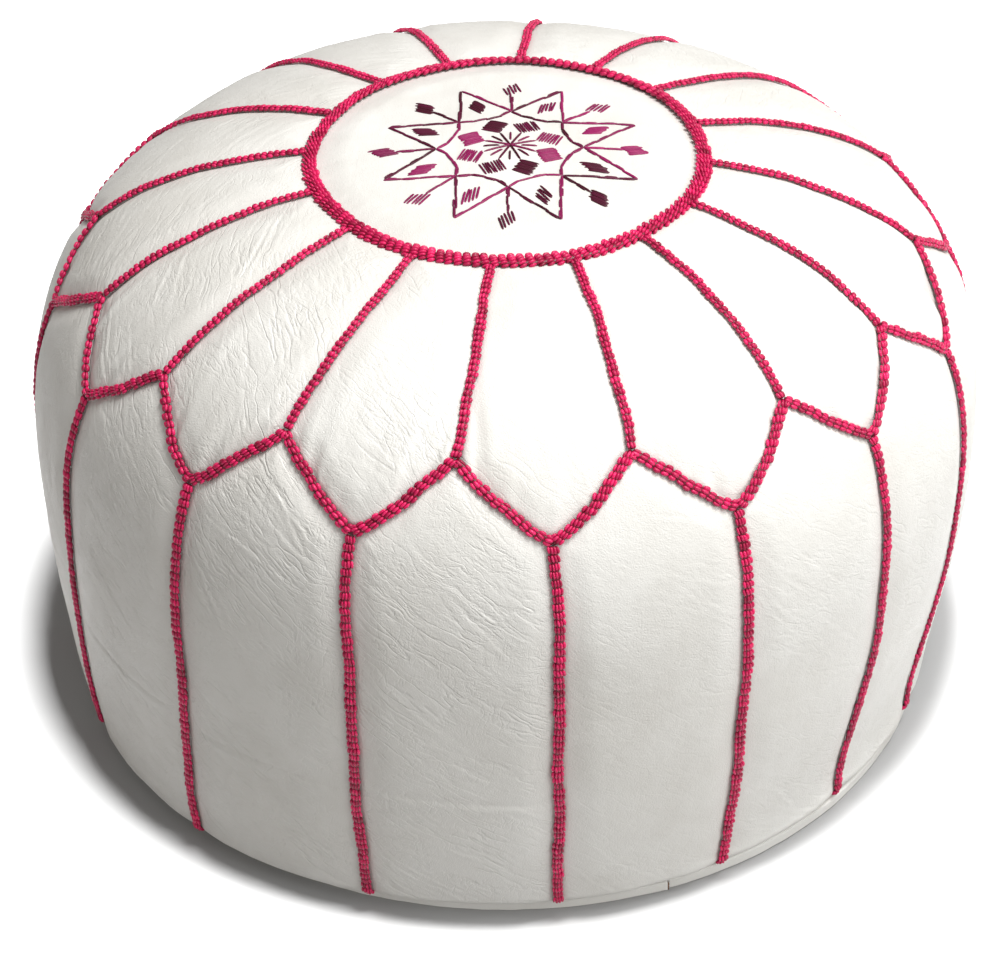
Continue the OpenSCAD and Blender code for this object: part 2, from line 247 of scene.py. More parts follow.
def vee_arm(j, side, t):
    """One arm of the V under petal j, from its notch (the left one where side is 0) to its rounded tip."""
    start, tip = unwrapped(j + side, notches), unwrapped(j, tips)
    x = 1 - t
    round_off = 0.09
    rise = (np.hypot(x, round_off) - round_off) / (math.hypot(1, round_off) - round_off)
    line = np.stack([tip[0] + (start[0] - tip[0]) * x, tip[1] + (start[1] - tip[1]) * rise], -1)
    line[:, 1] -= wander(t, 2 * PANELS + (2 * j + side) % (2 * PANELS))
    return line


def vee(j, t):
    """The whole V under petal j, from its left notch to its right one."""
    left = vee_arm(j, 0, np.clip(2 * t, 0, 1))
    right = vee_arm(j, 1, np.clip(2 - 2 * t, 0, 1))
    return np.where(t[:, None] < 0.5, left, right)


def caret(k, t):
    """The top edge of side panel k: up the right arm of one V and down the left arm of the next."""
    up = vee_arm(k - 1, 1, np.clip(1 - 2 * t, 0, 1))
    down = vee_arm(k, 0, np.clip(2 * t - 1, 0, 1))
    return np.where(t[:, None] < 0.5, up, down)


# ---- Leather patches as grids of turn and way up ----

ACROSS = 29
PETAL_ROWS = 37
SIDE_ROWS = 61


def gathered(count):
    """Even steps from 0 to 1, drawn together a little towards both ends."""
    t = np.linspace(0, 1, count)
    return 0.6 * t + 0.4 * (0.5 - 0.5 * np.cos(math.pi * t))


def patch(top, bottom, left, right):
    """A grid between four edges that meet at its corners."""
    a = gathered(len(top))[None, :, None]
    b = gathered(len(left))[:, None, None]
    grid = (1 - b) * top[None] + b * bottom[None] + (1 - a) * left[:, None] + a * right[:, None]
    grid -= (1 - a) * (1 - b) * top[0] + a * (1 - b) * top[-1] + (1 - a) * b * bottom[0] + a * b * bottom[-1]
    middle = grid.mean((0, 1))
    return middle + (grid - middle) * 0.997


def petal_patch(j):
    a, b = gathered(ACROSS), gathered(PETAL_ROWS)
    left, right = radial_seam(j, b), radial_seam(j + 1, b)
    top = left[0] + np.outer(a, right[0] - left[0])
    return patch(top, vee(j, a), left, right)


def side_patch(k):
    a, b = gathered(ACROSS), gathered(SIDE_ROWS)
    left, right = side_seam(k - 1, b), side_seam(k, b)
    bottom = left[-1] + np.outer(a, right[-1] - left[-1])
    return patch(caret(k, a), bottom, left, right)


# ---- Meshes ----


def make_mesh(name, points, faces, parent_material, uv=None, tone=None):
    """A mesh object from an array of points and a list of face arrays, each with its own corner count."""
    mesh = bpy.data.meshes.new(name)
    loops = np.concatenate([f.reshape(-1) for f in faces]).astype(np.int32)
    sizes = np.concatenate([np.full(len(f), f.shape[1]) for f in faces])
    starts = np.concatenate([[0], np.cumsum(sizes)[:-1]]).astype(np.int32)
    mesh.vertices.add(len(points))
    mesh.vertices.foreach_set("co", np.asarray(points, np.float32).reshape(-1))
    mesh.loops.add(len(loops))
    mesh.loops.foreach_set("vertex_index", loops)
    mesh.polygons.add(len(sizes))
    mesh.polygons.foreach_set("loop_start", starts)
    mesh.update(calc_edges=True)
    mesh.validate()
    mesh.polygons.foreach_set("use_smooth", np.ones(len(mesh.polygons), bool))
    if uv is not None:
        layer = mesh.uv_layers.new(name="lie")
        layer.data.foreach_set("uv", np.asarray(uv, np.float32)[loops].reshape(-1))
    if tone is not None:
        layer = mesh.attributes.new("tone", "FLOAT", "POINT")
        layer.data.foreach_set("value", np.asarray(tone, np.float32))
    obj = bpy.data.objects.new(name, mesh)
    bpy.context.scene.collection.objects.link(obj)
    mesh.materials.append(parent_material)
    return obj


def grid_faces(rows, cols, first=0, flip=False):
    """The quads of a grid of points stored row by row."""
    index = first + np.arange(rows * cols).reshape(rows, cols)
    quads = np.stack([index[:-1, :-1], index[1:, :-1], index[1:, 1:], index[:-1, 1:]], -1).reshape(-1, 4)
    return quads[:, ::-1] if flip else quads


def finer(grid):
    """Doubles a grid's rows and columns along smooth curves through its points."""
    for axis in (0, 1):
        g = np.moveaxis(grid, axis, 0)
        middle = (g[:-1] + g[1:]) / 2
        middle[1:-1] = (-g[:-3] + 9 * g[1:-2] + 9 * g[2:-1] - g[3:]) / 16
        middle[0] = (3 * g[0] + 6 * g[1] - g[2]) / 8
        middle[-1] = (3 * g[-1] + 6 * g[-2] - g[-3]) / 8
        woven = np.empty((len(g) + len(middle),) + g.shape[1:])
        woven[0::2], woven[1::2] = g, middle
        grid = np.moveaxis(woven, 0, axis)
    return grid


def grid_normals(grid):
    """Unit normals of a grid, on the side away from the pouf's middle."""
    down = np.gradient(grid, axis=0)
    over = np.gradient(grid, axis=1)
    n = np.cross(down, over)
    n /= np.maximum(np.linalg.norm(n, axis=-1, keepdims=True), 1e-12)
    away = grid - np.array([0, 0, WAIST_Z])
    flip = np.sign((n * away).sum(-1).mean())
    return n * flip


def edge_distances(grid):
    """How far each point is, along the leather, from the left, right, top and bottom edges."""
    over = np.linalg.norm(np.diff(grid, axis=1), axis=-1)
    down = np.linalg.norm(np.diff(grid, axis=0), axis=-1)
    left = np.concatenate([np.zeros((len(grid), 1)), np.cumsum(over, axis=1)], axis=1)
    top = np.concatenate([np.zeros((1, grid.shape[1])), np.cumsum(down, axis=0)], axis=0)
    return left, left[:, -1:] - left, top, top[-1:] - top


# ---- Swelling the sewn cover by cloth simulation ----

PRESSURE_STEPS = 20
MOST_SWELL = 9 * MM


def swollen(grids):
    """The patches swelled by air pressure between their held seams. The petals have some slack."""
    points, quads, held, slack = [], [], [], []
    first = 0
    for number, grid in enumerate(grids):
        rows, cols = grid.shape[:2]
        edge = np.ones((rows, cols), bool)
        edge[1:-1, 1:-1] = False
        held.append(first + np.flatnonzero(edge))
        quads.append(grid_faces(rows, cols, first))
        points.append(grid.reshape(-1, 3))
        if number < PANELS:
            slack.append(first + np.arange(rows * cols))
        first += rows * cols
    obj = make_mesh("swelling_cover", np.concatenate(points), [np.concatenate(quads)], None)
    group = obj.vertex_groups.new(name="sewn")
    group.add(np.concatenate(held).tolist(), 1.0, "REPLACE")
    loose = obj.vertex_groups.new(name="slack")
    loose.add(np.concatenate(slack).tolist(), 1.0, "REPLACE")
    cloth = obj.modifiers.new("Cloth", "CLOTH")
    cloth.point_cache.frame_start = 1
    cloth.point_cache.frame_end = PRESSURE_STEPS
    cloth.settings.quality = 4
    cloth.settings.mass = 0.3
    cloth.settings.tension_stiffness = 30
    cloth.settings.compression_stiffness = 30
    cloth.settings.shear_stiffness = 12
    cloth.settings.bending_stiffness = 2
    cloth.settings.air_damping = 3
    cloth.settings.use_pressure = True
    cloth.settings.uniform_pressure_force = 4
    cloth.settings.shrink_min = 0.0
    cloth.settings.shrink_max = -0.009
    cloth.settings.vertex_group_shrink = loose.name
    cloth.settings.vertex_group_mass = group.name
    cloth.settings.effector_weights.gravity = 0
    cloth.collision_settings.use_collision = False
    scene = bpy.context.scene
    for step in range(1, PRESSURE_STEPS + 1):
        scene.frame_set(step)
    shaped = obj.evaluated_get(bpy.context.evaluated_depsgraph_get())
    after = np.empty(len(shaped.data.vertices) * 3, np.float32)
    shaped.data.vertices.foreach_get("co", after)
    after = after.reshape(-1, 3).astype(float)
    bpy.data.objects.remove(obj)
    scene.frame_set(1)
    before = np.concatenate(points)
    move = after - before
    length = np.linalg.norm(move, axis=1, keepdims=True)
    move *= np.minimum(1, MOST_SWELL / np.maximum(length, 1e-9))
    result, first = [], 0
    for grid in grids:
        count = grid.shape[0] * grid.shape[1]
        result.append((before + move)[first:first + count].reshape(grid.shape))
        first += count
    return result


# ---- Leather relief ----

CROWN = 0.3 * MM
ROLL = 1.0 * MM
PUCKER = 0.42 * MM
FLUTE = 1.6 * MM


def sewn(grid, hem):
    """A patch before it swells: low along its seams and raised a little between them."""
    sides = edge_distances(grid)
    edge = np.minimum.reduce(sides[:3] if hem else sides)
    lift = (CROWN + SEAM_SINK) * ease(edge / 0.02) - SEAM_SINK
    if hem:
        lift *= ease(sides[3] / 0.012)
    return grid + grid_normals(grid) * lift[..., None]


def creases(across, down, seed, creased):
    """Bunches of near-parallel creases that slant down to the right: fine valleys, each with a soft lip."""
    rng = np.random.default_rng(seed)
    wide, tall = across.max(), down.max()
    place = np.stack([across, down, np.full_like(down, 0.01 * seed)], -1)
    warp = 4.0 * MM * noise(place, 1 / 0.040, seed + 37) + 1.0 * MM * noise(place, 1 / 0.010, seed + 41)
    high = np.zeros_like(down)
    for _ in range(round(5 + 12 * creased)):
        middle = rng.uniform(-0.9, 0.9) * wide, rng.uniform(0.05, 0.95) * tall
        slant = math.radians(rng.normal(33, 11))
        drift = 0.0
        for _ in range(rng.integers(2, 7)):
            drift += rng.uniform(2.5, 7) * MM
            length = rng.uniform(0.012, 0.045)
            width = rng.uniform(0.65, 1.1) * MM
            depth = rng.uniform(0.05, 0.15) * MM * (0.5 + creased)
            x, y = across - middle[0] - rng.uniform(-0.02, 0.02), down - middle[1]
            u = x * math.cos(slant) + y * math.sin(slant)
            v = y * math.cos(slant) - x * math.sin(slant) - drift + warp
            fade = np.exp(-((u / length) ** 4))
            high += depth * fade * (0.7 * np.exp(-((v / width - 2) ** 2) / 3) - np.exp(-((v / width) ** 2)))
    return high


def relief(grid, seed, hem, creased):
    """How far the leather stands off the smooth swollen patch: seam rolls, gathers, dents and creases."""
    left, right, top, bottom = edge_distances(grid)
    taut = 0.30 if hem else 0.8
    seams = [(left, top, taut), (right, top, taut), (top, left, 0.9)] + ([] if hem else [(bottom, left, 1.0)])
    edge = np.minimum.reduce([away for away, along, amount in seams])
    inner = ease(edge / 0.022)
    high = ROLL * (1 - np.exp(-((edge / (3.4 * MM)) ** 2)))
    for number, (away, along, amount) in enumerate(seams):
        q = np.stack([along, away * 0.12, np.full_like(along, 0.01 * (seed + number))], -1)
        strength = amount * (0.5 + 0.5 * noise(q, 1 / 0.035, seed + 11))
        near = (1 - np.exp(-((away / (3.2 * MM)) ** 2))) * np.exp(-away / 0.011)
        high += PUCKER * strength * near * noise(q, 1 / 0.0042, seed + 17)
        high += 0.7 * PUCKER * strength * near * noise(q, 1 / 0.0098, seed + 23)
    if not hem:
        q = np.stack([(left - right) / 2, top * 0.10, np.full_like(top, 0.01 * seed)], -1)
        near = ease(bottom / 0.004) * np.exp(-bottom / 0.022)
        high += FLUTE * near * (noise(q, 1 / 0.0085, seed + 29) + 0.5 * noise(q, 1 / 0.017, seed + 31))
    # Dents and swells that run on from panel to panel.
    high += inner * (0.9 * MM * noise(grid, 1 / 0.085, 3) + 0.30 * MM * noise(grid, 1 / 0.033, 4))
    down = bottom.max() - bottom if hem else top
    high += creases((left - right) / 2, down, seed, creased) * inner
    if hem:
        # One long crease runs nearly level across some side panels.
        level = down - (0.62 + 0.06 * math.sin(5 * seed)) * down.max() - 0.03 * (left - right)
        level += 5 * MM * noise(grid, 1 / 0.045, 5)
        high += (0.9 * creased - 0.25) * MM * inner * (
            0.6 * np.exp(-((level / (2.6 * MM) - 1.6) ** 2)) - np.exp(-((level / (1.6 * MM)) ** 2)))
    # Fine wrinkling of the grain.
    high += 0.05 * MM * noise(grid, 1 / 0.0031, 7) * inner
    if hem:
        high *= ease(bottom / 0.010)
        high += 1.0 * MM * ease(bottom / 0.004) * np.exp(-bottom / 0.010) * noise(
            np.stack([left, bottom * 0.3, np.zeros_like(left)], -1), 1 / 0.022, seed + 53)
    return high


def border(rows, cols):
    """Indices round the edge of a grid, once round."""
    index = np.arange(rows * cols).reshape(rows, cols)
    return np.concatenate([index[0, :-1], index[:-1, -1], index[-1, :0:-1], index[:0:-1, 0]])


def leather_piece(name, grid, seed, hem, creased):
    """One leather panel as a closed piece: the detailed outer face, a plain inner one, and the cut edge.

    Its uv is the flat leather in metres, and its tone how creased the leather is.
    """
    detail = finer(finer(grid))
    outer = detail + grid_normals(detail) * relief(detail, seed, hem, creased)[..., None]
    left, right, top, bottom = edge_distances(detail)
    flat = np.stack([(left - right) / 2 + 0.3 * seed, bottom.max() - bottom if hem else top], -1)
    coarse = outer[::4, ::4]
    inner = coarse - grid_normals(grid) * LEATHER_T
    points = np.concatenate([outer.reshape(-1, 3), inner.reshape(-1, 3)])
    outer_count = outer.shape[0] * outer.shape[1]
    fine_loop = border(*outer.shape[:2])
    coarse_loop = outer_count + border(*inner.shape[:2])
    steps = np.arange(len(coarse_loop))
    rim = np.stack([fine_loop[(4 * steps + i) % len(fine_loop)] for i in range(5)]
                   + [np.roll(coarse_loop, -1), coarse_loop], -1)
    faces = [grid_faces(*outer.shape[:2]), grid_faces(*inner.shape[:2], outer_count, flip=True), rim]
    uv = np.concatenate([flat.reshape(-1, 2), flat[::4, ::4].reshape(-1, 2)])
    return make_mesh(name, points, faces, leather, uv, np.full(len(points), creased))


# ---- Materials ----


class Nodes:
    """A short way to add nodes to one material."""

    def __init__(self, name, colour, roughness):
        self.material = bpy.data.materials.new(name)
        self.material.use_nodes = True
        self.tree = self.material.node_tree
        self.shader = self.tree.nodes["Principled BSDF"]
        self.shader.inputs["Base Color"].default_value = (*colour, 1)
        self.shader.inputs["Roughness"].default_value = roughness
        self.place = self.tree.nodes.new("ShaderNodeTexCoord").outputs["Object"]

    def add(self, kind, inputs=None, **settings):
        node = self.tree.nodes.new(kind)
        for key, value in settings.items():
            setattr(node, key, value)
        for key, value in (inputs or {}).items():
            if isinstance(value, bpy.types.NodeSocket):
                self.tree.links.new(value, node.inputs[key])
            else:
                node.inputs[key].default_value = value
        return node

    def scaled(self, vector, scale):
        return self.add("ShaderNodeMapping", {"Vector": vector, "Scale": scale}).outputs[0]

    def noise(self, scale, detail=3.0, vector=None, rough=0.5):
        inputs = {"Vector": vector or self.place, "Scale": scale, "Detail": detail, "Roughness": rough}
        return self.add("ShaderNodeTexNoise", inputs).outputs["Fac"]

    def cells(self, scale, feature="F1", vector=None):
        inputs = {"Vector": vector or self.place, "Scale": scale}
        return self.add("ShaderNodeTexVoronoi", inputs, feature=feature).outputs["Distance"]

    def warped(self, vector, scale, amount):
        """A vector pushed about by noise."""
        inputs = {"Vector": vector, "Scale": scale, "Detail": 2.0}
        push = self.add("ShaderNodeTexNoise", inputs).outputs["Color"]
        inputs = {0: push, 1: (amount, amount, amount), 2: vector}
        return self.add("ShaderNodeVectorMath", inputs, operation="MULTIPLY_ADD").outputs[0]

    def ramp(self, value, low, high, to_low=0.0, to_high=1.0):
        inputs = {"Value": value, "From Min": low, "From Max": high, "To Min": to_low, "To Max": to_high}
        return self.add("ShaderNodeMapRange", inputs).outputs["Result"]

    def sum(self, a, b, share=1.0):
        inputs = {0: b, 1: share, 2: a}
        return self.add("ShaderNodeMath", inputs, operation="MULTIPLY_ADD").outputs[0]

    def blend(self, factor, low, high):
        inputs = {"Factor": factor, "A": (*low, 1), "B": (*high, 1)}
        node = self.add("ShaderNodeMix", None, data_type="RGBA")
        self.tree.links.new(factor, node.inputs[0])
        node.inputs[6].default_value = inputs["A"]
        node.inputs[7].default_value = inputs["B"]
        return node.outputs[2]

    def tinted(self, factor, under, colour):
        """The colour socket under, blended towards a colour by factor."""
        node = self.add("ShaderNodeMix", None, data_type="RGBA")
        self.tree.links.new(factor, node.inputs[0])
        self.tree.links.new(under, node.inputs[6])
        node.inputs[7].default_value = (*colour, 1)
        return node.outputs[2]

    def bump(self, height, depth, strength=1.0):
        inputs = {"Height": height, "Distance": depth, "Strength": strength}
        self.link(self.add("ShaderNodeBump", inputs).outputs[0], "Normal")

    def link(self, socket, name):
        self.tree.links.new(socket, self.shader.inputs[name])

    def fixed(self, **values):
        for name, value in values.items():
            self.shader.inputs[name.replace("_", " ")].default_value = value


# Families of fine wrinkles: scale, slant in degrees, stretch along the lines, line width and depth.
WRINKLES = ((110, 34, 5.0, 0.045, 1.8), (230, 22, 4.0, 0.060, 1.1), (170, 100, 3.0, 0.040, 0.9))


def leather_material(name, light, dark, gloss):
    """Soft grained goat leather: pebbles, finer pores, patchy tone and a broken satin shine."""
    m = Nodes(name, light, gloss)
    patches = m.noise(14, 4)
    blotches = m.noise(70, 3)
    tone = m.sum(patches, blotches, 0.35)
    m.link(m.blend(m.ramp(tone, 0.45, 0.85), dark, light), "Base Color")
    pebbles = m.cells(720, "DISTANCE_TO_EDGE", m.warped(m.place, 420, 0.0018))
    grain = m.sum(m.sum(pebbles, m.noise(2300, 2), 0.30), m.noise(420, 3), 0.6)
    lie = m.add("ShaderNodeUVMap", uv_map="lie").outputs["UV"]
    creased = m.add("ShaderNodeAttribute", attribute_name="tone").outputs["Fac"]
    height = grain
    for number, (scale, turn, stretch, wide, deep) in enumerate(WRINKLES):
        turned = m.add("ShaderNodeMapping", {"Vector": m.warped(lie, 40 + 30 * number, 0.007),
                                             "Rotation": (0, 0, math.radians(turn)),
                                             "Scale": (stretch, 1, 1)}, vector_type="TEXTURE").outputs[0]
        level = m.add("ShaderNodeMath", {0: m.noise(scale, 2, turned, 0.55), 1: 0.5}, operation="SUBTRACT")
        line = m.ramp(m.add("ShaderNodeMath", {0: level.outputs[0]}, operation="ABSOLUTE").outputs[0],
                      0.0, wide, deep, 0.0)
        patch = m.ramp(m.noise(24 + 9 * number, 2), 0.40, 0.62)
        share = m.add("ShaderNodeMath", {0: line, 1: patch}, operation="MULTIPLY").outputs[0]
        share = m.add("ShaderNodeMath", {0: share, 1: creased}, operation="MULTIPLY").outputs[0]
        height = m.sum(height, share, -1.0)
    m.bump(height, 0.00032, 0.6)
    wear = m.sum(m.noise(240, 3), m.noise(26, 2), 0.8)
    m.link(m.ramp(wear, 0.5, 1.2, gloss - 0.07, gloss + 0.10), "Roughness")
    m.fixed(IOR=1.47, Specular_IOR_Level=0.42)
    return m.material


def thread_material(name, shade, light, fibre, depth, gloss):
    """Twisted silky thread: each stitch has its own tone, and fine fibres run along it, with painted shade
    darkening the grooves between them.
    """
    m = Nodes(name, light, gloss)
    tone = m.add("ShaderNodeAttribute", attribute_name="tone").outputs["Fac"]
    along = m.add("ShaderNodeUVMap", uv_map="lie").outputs["UV"]
    fibres = m.noise(1.0, 3, m.scaled(along, (2.2, fibre, 1.0)), 0.6)
    colour = m.blend(tone, shade, light)
    # Painted shade: the low parts of the fibre bump are tinted darker towards the shade colour.
    deep = m.ramp(fibres, 0.30, 0.62, 0.40, 0.0)
    m.link(m.tinted(deep, colour, tuple(0.4 * c for c in shade)), "Base Color")
    m.bump(fibres, depth, 0.8)
    m.link(m.ramp(fibres, 0.3, 0.7, gloss + 0.14, gloss - 0.05), "Roughness")
    m.fixed(IOR=1.5, Specular_IOR_Level=0.32)
    return m.material


def cloth_material(name, light, dark, threads):
    """Plain woven cotton."""
    m = Nodes(name, light, 0.85)
    wave = {"Vector": m.place, "Scale": threads, "Distortion": 0.6, "Detail": 1.0}
    warp = m.add("ShaderNodeTexWave", dict(wave), bands_direction="X").outputs["Fac"]
    weft = m.add("ShaderNodeTexWave", dict(wave), bands_direction="Y").outputs["Fac"]
    weave = m.sum(warp, weft)
    m.link(m.blend(m.ramp(m.sum(weave, m.noise(300), 0.6), 0.3, 1.9), dark, light), "Base Color")
    m.bump(weave, 0.0002, 0.7)
    m.fixed(Sheen_Weight=0.15)
    return m.material


def brass_material():
    """Rolled brass, a little worn and dulled in patches."""
    m = Nodes("zip_brass", (0.72, 0.53, 0.24), 0.3)
    wear = m.noise(900, 4, None, 0.7)
    m.link(m.blend(m.ramp(wear, 0.35, 0.7), (0.48, 0.33, 0.13), (0.80, 0.61, 0.30)), "Base Color")
    m.link(m.ramp(m.noise(1700, 3), 0.3, 0.7, 0.22, 0.45), "Roughness")
    m.bump(m.noise(2400, 2), 0.00004, 0.5)
    m.fixed(Metallic=1.0)
    return m.material


def wadding_material():
    """Loose cotton wadding."""
    m = Nodes("stuffing_fibre", (0.86, 0.85, 0.82), 0.95)
    tufts = m.noise(160, 6, None, 0.75)
    m.link(m.blend(m.ramp(tufts, 0.3, 0.7), (0.70, 0.68, 0.63), (0.88, 0.87, 0.84)), "Base Color")
    m.bump(tufts, 0.002, 0.8)
    m.fixed(Sheen_Weight=0.2)
    return m.material


leather = leather_material("white_leather", (0.68, 0.67, 0.635), (0.61, 0.595, 0.555), 0.43)
pink_thread = thread_material("pink_braid", (0.11, 0.0005, 0.008), (0.84, 0.018, 0.140), 11, 0.00010, 0.28)
plum_thread = thread_material("plum_thread", (0.050, 0.0008, 0.011), (0.36, 0.010, 0.125), 9, 0.00008, 0.36)
brown_thread = thread_material("brown_thread", (0.07, 0.03, 0.015), (0.24, 0.12, 0.06), 9, 0.00006, 0.5)
white_thread = thread_material("white_thread", (0.40, 0.38, 0.35), (0.72, 0.70, 0.65), 9, 0.00006, 0.5)
tape_cloth = cloth_material("zip_tape", (0.78, 0.76, 0.71), (0.60, 0.58, 0.53), 2600)
liner_cloth = cloth_material("liner_cotton", (0.80, 0.78, 0.72), (0.66, 0.63, 0.57), 1500)
brass = brass_material()
wadding = wadding_material()


# ---- Closed pieces from one detailed face ----


def two_faced(name, outer, shift, material, flip=False):
    """A closed piece: a detailed grid, a coarser copy of it moved by shift, and the edge between them."""
    inner = outer[::4, ::4] + shift
    points = np.concatenate([outer.reshape(-1, 3), inner.reshape(-1, 3)])
    outer_count = outer.shape[0] * outer.shape[1]
    fine_loop = border(*outer.shape[:2])
    coarse_loop = outer_count + border(*inner.shape[:2])
    steps = np.arange(len(coarse_loop))
    rim = np.stack([fine_loop[(4 * steps + i) % len(fine_loop)] for i in range(5)]
                   + [np.roll(coarse_loop, -1), coarse_loop], -1)
    if flip:
        rim = rim[:, ::-1]
    faces = [grid_faces(*outer.shape[:2], flip=flip), rim,
             grid_faces(*inner.shape[:2], outer_count, flip=not flip)]
    return make_mesh(name, points, faces, material)


def ring_faces(rows, cols, first=0, flip=False):
    """The quads of a grid whose last column joins its first."""
    index = first + np.arange(rows * cols).reshape(rows, cols)
    after = np.roll(index, -1, axis=1)
    quads = np.stack([index[:-1], index[1:], after[1:], after[:-1]], -1).reshape(-1, 4)
    return quads[:, ::-1] if flip else quads


def fan_faces(ring, centre, flip=False):
    """Triangles from a ring of points to one in its middle."""
    after = np.roll(ring, -1)
    fan = np.stack([ring, np.full_like(ring, centre), after], -1)
    return fan[:, ::-1] if flip else fan


# ---- The medallion ----

TOP_ROWS = OUTLINE[OUTLINE[:, 1] > WAIST_Z][::-1]


def medallion_height(x, y):
    """Height of the medallion's leather over the floor."""
    r = np.hypot(x, y)
    edge = np.maximum(radius_at(ring_s(np.arctan2(y, x))) - r, 0)
    flat = np.stack([x, y, np.zeros_like(r)], -1)
    around = flat / np.maximum(r, 1e-6)[..., None] * RING_R
    near = (1 - np.exp(-((edge / (4 * MM)) ** 2))) * np.exp(-edge / 0.012)
    high = (0.9 * MM + SEAM_SINK) * ease(edge / 0.020) - SEAM_SINK
    high = high + 0.8 * PUCKER * near * noise(around + 0.15 * flat, 1 / 0.0050, 61)
    swells = 0.9 * MM * noise(flat, 1 / 0.060, 62) + 0.35 * MM * noise(flat, 1 / 0.021, 63)
    high += ease(edge / 0.03) * swells
    high -= 0.10 * MM * ridges(flat * np.array([1, 0.25, 1]), 1 / 0.006, 64) * ease(edge / 0.02)
    high += 0.045 * MM * noise(flat, 1 / 0.0031, 65)
    return np.interp(r, TOP_ROWS[:, 0], TOP_ROWS[:, 1]) + high


def medallion_piece():
    around, rows = 320, 121
    turn = 2 * math.pi * np.arange(around) / around
    rim_r = radius_at(ring_s(turn)) - 0.25 * MM
    radii = 1.2 * MM + (rim_r - 1.2 * MM) * np.linspace(1, 0, rows)[:, None]
    x, y = radii * np.cos(turn), radii * np.sin(turn)
    top = np.stack([x, y, medallion_height(x, y)], -1)
    under = top[::4, ::4] - np.array([0, 0, LEATHER_T])
    peak = medallion_height(np.zeros(1), np.zeros(1))[0]
    points = np.concatenate([top.reshape(-1, 3), under.reshape(-1, 3),
                             [[0, 0, peak], [0, 0, peak - LEATHER_T]]])
    first = rows * around
    small = under.shape[:2]
    rim_low = first + np.arange(small[1])
    steps = np.arange(small[1])
    rim = np.stack([(4 * steps + i) % around for i in range(5)] + [np.roll(rim_low, -1), rim_low], -1)
    faces = [ring_faces(rows, around, flip=True), ring_faces(*small, first), rim[:, ::-1],
             fan_faces(np.arange(first - around, first), len(points) - 2, flip=True),
             fan_faces(first + np.arange((small[0] - 1) * small[1], small[0] * small[1]), len(points) - 1)]
    return make_mesh("top_medallion_leather", points, faces, leather)


# ---- Threads ----


class Strand:
    """A closed lozenge along x from -1 to 1, to be laid many times over as one stitch each."""

    def __init__(self, rings, around, power, droop=0.0):
        x = np.sin(np.pi / 2 * np.linspace(-1, 1, rings + 2)[1:-1])
        width = np.sqrt(1 - np.abs(x) ** power)
        turn = 2 * math.pi * (np.arange(around) / around - 0.25)
        y, z = np.outer(width, np.cos(turn)), np.outer(width, np.sin(turn))
        body = np.stack([np.broadcast_to(x[:, None], y.shape), y, z], -1).reshape(-1, 3)
        self.points = np.concatenate([body, [[-1, 0, 0], [1, 0, 0]]])
        self.points[:, 2] -= droop * self.points[:, 0] ** 4
        body_uv = np.stack(np.broadcast_arrays(x[:, None], (turn / 2 / math.pi)[None]), -1).reshape(-1, 2)
        self.uv = np.concatenate([body_uv, [[-1, 0.25], [1, 0.25]]])
        self.quads = ring_faces(rings, around, flip=True)
        last = np.arange((rings - 1) * around, rings * around)
        self.tris = np.concatenate([fan_faces(np.arange(around), len(body)),
                                    fan_faces(last, len(body) + 1, flip=True)])

    def laid(self, middles, along, across, up, tone):
        """Points, faces, uv and tone of one strand at each middle, with its half sizes as vectors."""
        axes = np.stack([along, across, up], 1)
        points = (middles[:, None] + np.einsum("vi,nij->nvj", self.points, axes)).reshape(-1, 3)
        starts = (np.arange(len(middles)) * len(self.points))[:, None, None]
        quads = (self.quads[None] + starts).reshape(-1, 4)
        tris = (self.tris[None] + starts).reshape(-1, 3)
        shift = np.stack([np.arange(len(middles)) * 2.37, np.arange(len(middles)) * 0.618], -1)
        uv = (self.uv[None] + shift[:, None]).reshape(-1, 2)
        return points, quads, tris, uv, np.repeat(tone, len(self.points))


def strands_piece(name, parts, material):
    """One piece from several lots of laid strands or tubes."""
    points, quads, tris, uvs, tones, first = [], [], [], [], [], 0
    for part_points, part_quads, part_tris, uv, tone in parts:
        points.append(part_points)
        quads.append(part_quads + first)
        tris.append(part_tris + first)
        uvs.append(uv)
        tones.append(tone)
        first += len(part_points)
    faces = [np.concatenate(quads), np.concatenate(tris)]
    points, uvs, tones = (np.concatenate(rows) for rows in (points, uvs, tones))
    return make_mesh(name, points, faces, material, uvs, tones)


def unit(vectors):
    return vectors / np.linalg.norm(vectors, axis=-1, keepdims=True)


class Course:
    """A line along a seam, lifted off the skin, that stitches are laid along."""

    def __init__(self, line, lift, closed=False):
        self.points = skin(line[:, 0], line[:, 1], lift)
        self.out = unit(skin(line[:, 0], line[:, 1], lift + 1 * MM) - self.points)
        self.closed = closed
        self.at = np.concatenate([[0], np.cumsum(np.linalg.norm(np.diff(self.points, axis=0), axis=1))])
        self.length = self.at[-1]
        self.heading = unit(np.gradient(self.points, self.at, axis=0))

    def frame(self, distance):
        """Place, heading, side and outward direction at each distance along the line."""
        distance = distance % self.length if self.closed else np.clip(distance, 0, self.length)
        place, heading, out = (np.stack([np.interp(distance, self.at, values[:, i]) for i in range(3)], -1)
                               for values in (self.points, self.heading, self.out))
        heading, side = unit(heading), unit(np.cross(out, heading))
        return place, heading, side, unit(np.cross(heading, side))


BEAD = Strand(7, 9, 2.7, droop=0.25)


